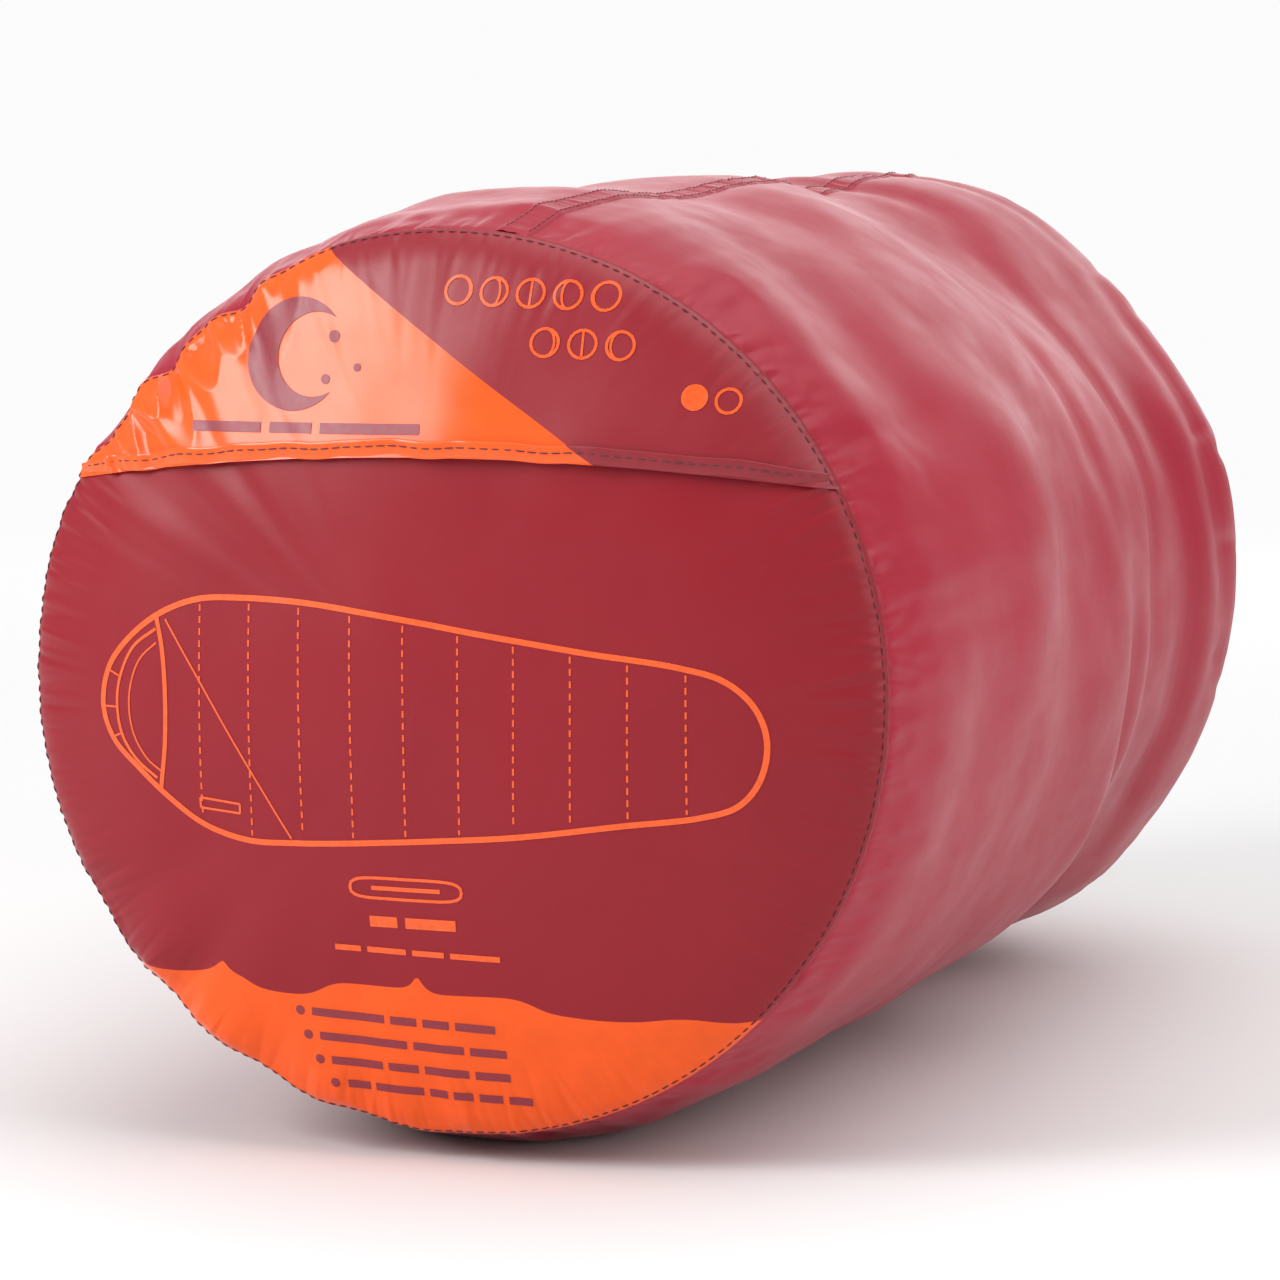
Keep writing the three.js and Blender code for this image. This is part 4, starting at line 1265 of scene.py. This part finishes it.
def frames_along(centre, closed=False):
    """Two directions across a line that twist as little as they can."""
    along = np.gradient(centre, axis=0)
    if closed:
        along = np.roll(centre, -1, 0) - np.roll(centre, 1, 0)
    along /= np.linalg.norm(along, axis=1, keepdims=True)
    side = np.cross(along[0], (0.31, 0.22, 0.93))
    sides = []
    for tangent in along:
        side = side - tangent * np.dot(side, tangent)
        side /= np.linalg.norm(side)
        sides.append(side)
    sides = np.array(sides)
    if closed:
        last = np.cross(along[0], sides[-1])
        twist = math.atan2(np.dot(last, sides[0]), np.dot(sides[-1], sides[0]))
        turn = np.linspace(0, 1, len(centre), endpoint=False) * twist
        across = np.cross(along, sides)
        sides = sides * np.cos(turn)[:, None] + across * np.sin(turn)[:, None]
    return sides, np.cross(along, sides)


def resampled(line, step, closed=False):
    line = np.vstack([line, line[:1]]) if closed else line
    travelled = np.concatenate([[0], np.cumsum(np.linalg.norm(np.diff(line, axis=0), axis=1))])
    at = np.linspace(0, travelled[-1], max(4, int(travelled[-1] / step)), endpoint=not closed)
    return np.stack([np.interp(at, travelled, line[:, k]) for k in range(3)], 1)


def braided_tube(name, line, radius, material, closed=False, around=24, step=0.32 * MM):
    """A round cord whose surface shows the crossing bundles of its braid."""
    centre = resampled(line, step, closed)
    side, up = frames_along(centre, closed)
    turns = max(1, round(len(centre) * step / (2.6 * radius)))     # of a bundle round the cord
    at = np.arange(len(centre))[:, None] * TAU / turns
    at = at / len(centre) * turns ** 2
    turn = np.arange(around)[None, :] * TAU / around
    bundles = np.maximum(np.cos(4 * turn + at), np.cos(4 * turn - at))
    size = radius * (0.93 + 0.08 * bundles)
    rings = (centre[:, None] + (np.cos(turn) * size)[..., None] * side[:, None]
             + (np.sin(turn) * size)[..., None] * up[:, None])
    rows = len(centre)
    if closed:
        rings = np.concatenate([rings, rings[:1]])
    faces = grid_faces(len(rings), around, True)
    if not closed:
        faces += [tuple(range(around))[::-1], tuple(range((rows - 1) * around, rows * around))]
    return new_object(name, rings.reshape(-1, 3), faces, material)


def drawcord_route():
    """Up one strand from the knot, round the ring in the tunnel, and down the other strand."""
    def down(side):
        places = [(0.4, LOCK_Y + side * 0.7 * MM, -55.0), (0.2, LOCK_Y + side * STRAND, -51),
                  (0, LOCK_Y + side * STRAND, -42), (0, LOCK_Y + side * STRAND, -33),
                  (side * 0.5, LOCK_Y + side * 1.6 * MM, -24.5),
                  (side * 1.5, EYELET_Y + side * 0.6 * MM, -20.5),
                  (side * 1.55, EYELET_Y + side * 0.2 * MM, -18.2), (side * 1.9, EYELET_Y, -16.2)]
        return [(x * MM, y, AXIS_Z + z * MM) for x, y, z in places]
    start = math.radians(27)
    ring = [(RING_R * math.sin(a), EYELET_Y, AXIS_Z - RING_R * math.cos(a))
            for a in np.linspace(start, TAU - start, 21)]
    return smooth_line(down(1) + ring + down(-1)[::-1], per=12)


def make_drawcord():
    return braided_tube("drawcord_braid", drawcord_route(), CORD_R, looks["cord"])


def make_knot():
    low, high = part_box("drawcord_knot")
    middle = (low + high) / 2
    u = np.linspace(0, 2 * TAU, 160, endpoint=False)
    size = 2.5 * MM
    wide = 0.5 * size * (2 + np.cos(1.5 * u))
    line = np.stack([wide * np.cos(u), wide * np.sin(u), 0.62 * size * np.sin(1.5 * u)], -1)
    return braided_tube("drawcord_knot_braid", line + np.array(middle), 1.05 * MM, looks["cord"], closed=True,
                        around=20)


def make_lock_ribs():
    """Raised rings that give the fingers a grip on the lock's barrel."""
    radius = (lock_high.z - lock_low.z) / 2
    places = [lock_low.x + (3.2 + 2.1 * k) * MM for k in range(3)]
    places += [lock_high.x - (1.6 + 2.1 * k) * MM for k in range(2)]
    angle = np.arange(96) * TAU / 96
    section = oval(1.1 * MM, 1.0 * MM, 12, 0.9)
    points, faces = [], []
    for x in places:
        ring = np.stack([x + section[None, :, 0] + 0 * angle[:, None],
                         LOCK_Y + (radius + section[None, :, 1]) * np.sin(angle)[:, None],
                         LOCK_Z + (radius + section[None, :, 1]) * np.cos(angle)[:, None]], -1)
        ring = np.concatenate([ring, ring[:1]])
        faces += grid_faces(len(ring), len(section), True, len(points), flip=True)
        points += ring.reshape(-1, 3).tolist()
    return new_object("cord_lock_ribs", points, faces, looks["plastic"])


def make_lock_spring():
    """A coil spring with its two end turns closed, which the button shortens as it is pressed in."""
    low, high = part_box("cord_lock_spring")
    middle, wire = (low + high) / 2, 0.6 * MM
    turns = 6
    t = np.linspace(0, 1, turns * 36)
    turn = t * turns * TAU
    share = np.interp(t * turns, [0, 1, turns - 1, turns], [0, 0.1, 0.9, 1])
    radius = (high.z - low.z) / 2 - wire / 2
    length = high.x - low.x - wire
    line = np.stack([low.x + wire / 2 + length * share, middle.y + radius * np.cos(turn),
                     middle.z + radius * np.sin(turn)], -1)
    side, up = frames_along(line)
    return sweep("lock_spring_coil", line, side, up, oval(wire, wire, 10, 1.0), looks["steel"])


# ---------- packed bag ----------
def solid_noise(points, seed, size, count=24):
    """Smooth, seeded noise in three dimensions."""
    random = np.random.default_rng(seed)
    total = np.zeros(len(points))
    for _ in range(count):
        direction = random.normal(size=3)
        direction *= TAU / (np.linalg.norm(direction) * size * math.exp(random.uniform(-0.5, 0.5)))
        total += np.cos(points @ direction + random.uniform(0, TAU))
    return total / math.sqrt(count / 2)


def puffed(node, name, material, cell, seed, dent, size):
    """A soft copy of a CAD solid: remeshed, rounded, and creased from being packed tight."""
    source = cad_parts[node]
    working = bpy.data.objects.new("working", source.data.copy())
    bpy.context.scene.collection.objects.link(working)
    working.matrix_world = source.matrix_world
    remesh = working.modifiers.new("remesh", "REMESH")
    remesh.mode = "VOXEL"
    remesh.voxel_size = cell
    rounding = working.modifiers.new("rounding", "SMOOTH")
    rounding.factor = 0.5
    rounding.iterations = 6
    evaluated = working.evaluated_get(bpy.context.evaluated_depsgraph_get())
    mesh = bpy.data.meshes.new_from_object(evaluated)
    mesh.transform(working.matrix_world)
    count = len(mesh.vertices)
    places, normals = np.empty(count * 3), np.empty(count * 3)
    mesh.vertices.foreach_get("co", places)
    mesh.vertex_normals.foreach_get("vector", normals)
    places, normals = places.reshape(-1, 3), normals.reshape(-1, 3)
    creases = 0.45 - np.abs(solid_noise(places, seed, size))
    moved = places + normals * (dent * np.minimum(0, creases))[:, None]
    moved = kept_inside(moved, 5.6 * MM)
    moved[:, 1] = np.minimum(moved[:, 1], WALL_END - 13 * MM)
    mesh.vertices.foreach_set("co", moved.ravel())
    mesh.polygons.foreach_set("use_smooth", [True] * len(mesh.polygons))
    mesh.materials.clear()
    mesh.materials.append(material)
    mesh.update()
    bpy.data.objects.remove(working)
    thing = bpy.data.objects.new(name, mesh)
    bpy.context.scene.collection.objects.link(thing)
    return thing


FOOT_Y = SEAM_Y + 16 * MM
HOOD_Y = SEAM_Y + WALL_L * 0.86
CHAMBERS = 10
SHELL_INSET = 3.4 * MM


def wall_sag(angle, y):
    """How far the wall's broad shape dips inwards at an angle and a y, never positive, and the share of
    a move along its normal that points straight away from the axis."""
    distance = np.interp(y, PROFILE[:160, 0], PROFILE_LENGTH[:160])
    slope = profile_at(distance)[2]
    height = lumps(angle, distance) + folds(angle, distance) + wrinkles(angle, distance)
    height += 1.2 * gathers(angle, distance) * smooth_step(distance, WALL_L * 0.5, WALL_L * 0.9)
    return np.minimum(0, height), np.maximum(0.2, np.cos(slope))


def kept_inside(points, depth):
    """Points moved towards the sack's axis, and up from the floor, until depth below its cloth."""
    across, up = points[:, 0], points[:, 2] - AXIS_Z
    angle, rho = np.arctan2(across, up), np.hypot(across, up)
    sag, lean = wall_sag(angle, points[:, 1])
    limit = np.maximum(1.5 * MM, wall_radius(points[:, 1]) + (sag - depth) / lean)
    share = np.minimum(1, limit / np.maximum(rho, 1e-6))
    moved = np.stack([across * share, points[:, 1], AXIS_Z + up * share], -1)
    moved[:, 2] = np.maximum(moved[:, 2], depth)
    return moved


def quilt(y):
    """Dips of the bag's shell at the seams between its chambers."""
    share = np.clip((y - FOOT_Y) / (HOOD_Y - FOOT_Y), 0, 1) * CHAMBERS
    return -1.1 * MM * np.exp(-((share - np.round(share)) / 0.09) ** 2)


def make_bag_shell():
    """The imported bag's outer cloth, quilted round its chambers and bunched together at the hood, and open
    along the zip on the -X side from there to the hood."""
    columns = 420
    front = [(r, SEAM_Y - DOME * (1 - min(1, r / BASE_R) ** 2) ** 0.7 + SHELL_INSET)
             for r in np.linspace(1 * MM, BASE_R - 7 * MM, 24)]
    stations = np.linspace(SEAM_Y + 4 * MM, WALL_END - 10 * MM, 150)
    side = [(float(wall_radius(y)) - SHELL_INSET, y) for y in stations]
    closing = ((56, -10), (46, -9), (36, -8), (27, -8), (18, -8.5), (11, -10), (6, -13), (2, -18))
    hood = [(r * MM, WALL_END + drop * MM) for r, drop in closing]
    line = np.array(front + side + hood)
    radius, y = line[:, 0][:, None], line[:, 1][:, None]
    a, travelled = np.meshgrid(np.arange(columns) * TAU / columns, np.arange(len(line)) * 3 * MM)
    creases = waves(a * 0.11, travelled, 91, 0.03, period=TAU * 0.11)
    bunched = smooth_step(y, WALL_END - 40 * MM, WALL_END)
    pleats = np.cos(22 * a + creases) * 2.0 * MM * bunched * np.minimum(1, radius / (20 * MM))
    size = radius + np.minimum(0, 0.7 - np.abs(creases)) * 1.2 * MM + quilt(y) + 0.5 * np.minimum(0, pleats)
    points = ring_points(a, y + pleats * (radius < 60 * MM), np.maximum(size, 0.5 * MM))
    faces = []
    flat = kept_inside(points.reshape(-1, 3), SHELL_INSET)
    zip_low, zip_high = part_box("zip_tape_lower")
    for face in grid_faces(len(line), columns, True):
        middle = flat[face[0]]
        rho = math.hypot(middle[0], middle[2] - AXIS_Z)
        along_zip = rho > 80 * MM and zip_low.y < middle[1] < zip_high.y
        to_the_hood = rho > 26 * MM and middle[1] >= zip_high.y
        open_here = middle[0] < 0 and abs(middle[2] - AXIS_Z) < 8 * MM and (along_zip or to_the_hood)
        if not open_here:
            faces.append(face)
    return new_object("bag_shell_cloth", flat, faces, looks["shell"])


def make_liner():
    """The inner cloth, a tube closed at the foot and open along the zip on the -X side."""
    low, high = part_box("bag_liner")
    radius = (high.x - low.x) / 2
    line = [(r, low.y) for r in np.linspace(1 * MM, radius - 2 * MM, 10)]
    line += [(radius, y) for y in np.linspace(low.y + 2 * MM, high.y, 110)]
    line = np.array(line)
    opening = math.radians(3)
    a, travelled = np.meshgrid(np.linspace(-TAU / 4 + opening, TAU * 0.75 - opening, 180),
                               np.arange(len(line)) * 3 * MM)
    creases = waves(a * 0.03, travelled, 92, 0.025, period=TAU * 0.03)
    size = line[:, 0][:, None] - np.abs(creases) * 1.0 * MM * np.minimum(1, line[:, 0][:, None] / radius)
    points = ring_points(a, line[:, 1][:, None] + 0 * a, size)
    return new_object("bag_liner_cloth", points.reshape(-1, 3), grid_faces(len(line), 180), looks["liner"])


def make_baffle(number):
    """One thin wall between chambers, open at the zip on the -X side."""
    low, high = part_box(f"baffle_wall_{number:02d}")
    y = (low.y + high.y) / 2
    outer = (high.x - low.x) / 2
    opening = math.radians(12)
    a, r = np.meshgrid(np.linspace(-TAU / 4 + opening, TAU * 0.75 - opening, 240),
                       np.linspace(30.5 * MM, outer, 14))
    ripple = waves(a * 0.08, r, 100 + number, 0.03) * 0.22 * MM
    points = ring_points(a, y + ripple, r)
    points[..., 2] = np.maximum(points[..., 2], low.z)
    name = f"baffle_cloth_{number:02d}"
    return new_object(name, points.reshape(-1, 3), grid_faces(14, 240), looks["shell"])


def make_zip_tape(node, name):
    """Woven tape with a ribbed face."""
    low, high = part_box(node)
    middle = (low + high) / 2
    y, z = np.meshgrid(np.linspace(low.y, high.y, 420), np.linspace(low.z, high.z, 15), indexing="ij")
    share = (z - middle.z) / (high.z - low.z)
    ribs = 0.08 * MM * np.cos(share * TAU * 7) + waves(y, z, 95, 0.03) * 0.12 * MM
    front = np.stack([middle.x - 0.3 * MM - ribs, y, z], -1)
    return new_object(name, front.reshape(-1, 3), grid_faces(*y.shape), looks["tape"])


def make_zip_coil():
    """The zip's two spirals, drawn as one flattened helix."""
    low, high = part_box("zip_coil")
    middle = (low + high) / 2
    turns = int((high.y - low.y) / (1.3 * MM))
    t = np.linspace(0, 1, turns * 12)
    turn = t * turns * TAU
    line = np.stack([middle.x + 0.62 * MM * np.cos(turn), low.y + (high.y - low.y) * t,
                     middle.z + 1.25 * MM * np.sin(turn)], -1)
    side, up = frames_along(line)
    section = oval(0.5 * MM, 0.5 * MM, 6, 1.0)
    return sweep("zip_coil_spiral", line, side, up, section, looks["cord"])


def make_hood_cord():
    low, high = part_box("hood_drawcord")
    middle, radius = (low + high) / 2, (high.x - low.x) / 2 - 1.2 * MM
    a = np.arange(160) * TAU / 160
    line = np.stack([radius * np.sin(a), 0 * a, radius * np.cos(a)], -1) + np.array(middle)
    return braided_tube("hood_drawcord_braid", line, 1.2 * MM, looks["cord"], closed=True, around=18)


def refine(node, material, bevel=0.25 * MM):
    """A CAD piece whose shape is right: welded, its edges rounded, and given its real finish."""
    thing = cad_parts[node]
    thing.data.materials.clear()
    thing.data.materials.append(material)
    thing.data.polygons.foreach_set("use_smooth", [True] * len(thing.data.polygons))
    weld = thing.modifiers.new("weld", "WELD")
    weld.merge_threshold = 0.01 * MM
    rounding = thing.modifiers.new("bevel", "BEVEL")
    rounding.width = bevel
    rounding.segments = 3
    rounding.limit_method = "ANGLE"
    rounding.angle_limit = math.radians(38)
    rounding.harden_normals = True


# ---------- assembly ----------
def place(piece, slot, *nodes, body="sack"):
    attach(piece, body)
    if nodes:
        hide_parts(*nodes)
    return piece


wall = place(make_wall(), "sack_wall", "side_wall")
base = place(make_base(), "sack_base", "base_panel", "base_seam")
flap = place(make_flap(), "flap", "grab_flap")
hem = place(make_hem(), "flap", "flap_hem")
seam = place(make_side_seam(), "sack_seam", "side_seam")
ruffle = place(make_ruffle(), "sack_wall", "mouth_channel")
place(make_base_stitches(), "sack_seam")
place(make_hem_stitches(), "flap")
place(make_side_stitches("side_seam_stitches_right", 3 * MM), "sack_seam")
place(make_side_stitches("side_seam_stitches_left", -3 * MM), "sack_seam")
place(make_ruffle_stitches(), "sack_seam")
for make_print in (make_bag_print, make_base_labels, make_hill_labels, make_flap_labels, make_moon):
    place(make_print(), "print")

place(make_drawcord(), "cord", "drawcord")
place(make_knot(), "cord", "drawcord_knot")
place(make_lock_ribs(), "lock_plastic", body="cord_lock")
for node in ("cord_lock_body", "cord_lock_button", "hood_cord_toggle"):
    refine(node, looks["plastic"])
for node in ("channel_eyelet", "zip_slider", "zip_pull"):
    refine(node, looks["steel"], 0.12 * MM)
spring = place(make_lock_spring(), "steel", "cord_lock_spring", body="cord_lock")
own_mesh(spring)

shell = place(make_bag_shell(), "bag_shell", "bag_shell")
liner = place(make_liner(), "bag_liner", "bag_liner")
for number in range(1, CHAMBERS):
    baffle = place(make_baffle(number), "bag_shell", f"baffle_wall_{number:02d}")
for number in range(1, CHAMBERS + 1):
    chamber = puffed(f"down_chamber_{number:02d}", f"down_fill_{number:02d}", looks["down"], 4 * MM,
                     200 + number, 2.0 * MM, 0.05)
    place(chamber, "down", f"down_chamber_{number:02d}")
for node, name, slot, look in (("foot_fill", "foot_down", "down", "down"),
                               ("hood_fill", "hood_down", "down", "down"),
                               ("draft_tube", "draft_tube_soft", "bag_liner", "liner"),
                               ("draft_collar", "draft_collar_soft", "bag_liner", "liner")):
    soft = place(puffed(node, name, looks[look], 2.5 * MM, 230, 1.2 * MM, 0.04), slot, node)
place(make_zip_tape("zip_tape_upper", "zip_tape_woven_upper"), "zip_tape", "zip_tape_upper")
place(make_zip_tape("zip_tape_lower", "zip_tape_woven_lower"), "zip_tape", "zip_tape_lower")
place(make_zip_coil(), "zip_tape", "zip_coil")
place(make_hood_cord(), "cord", "hood_drawcord")
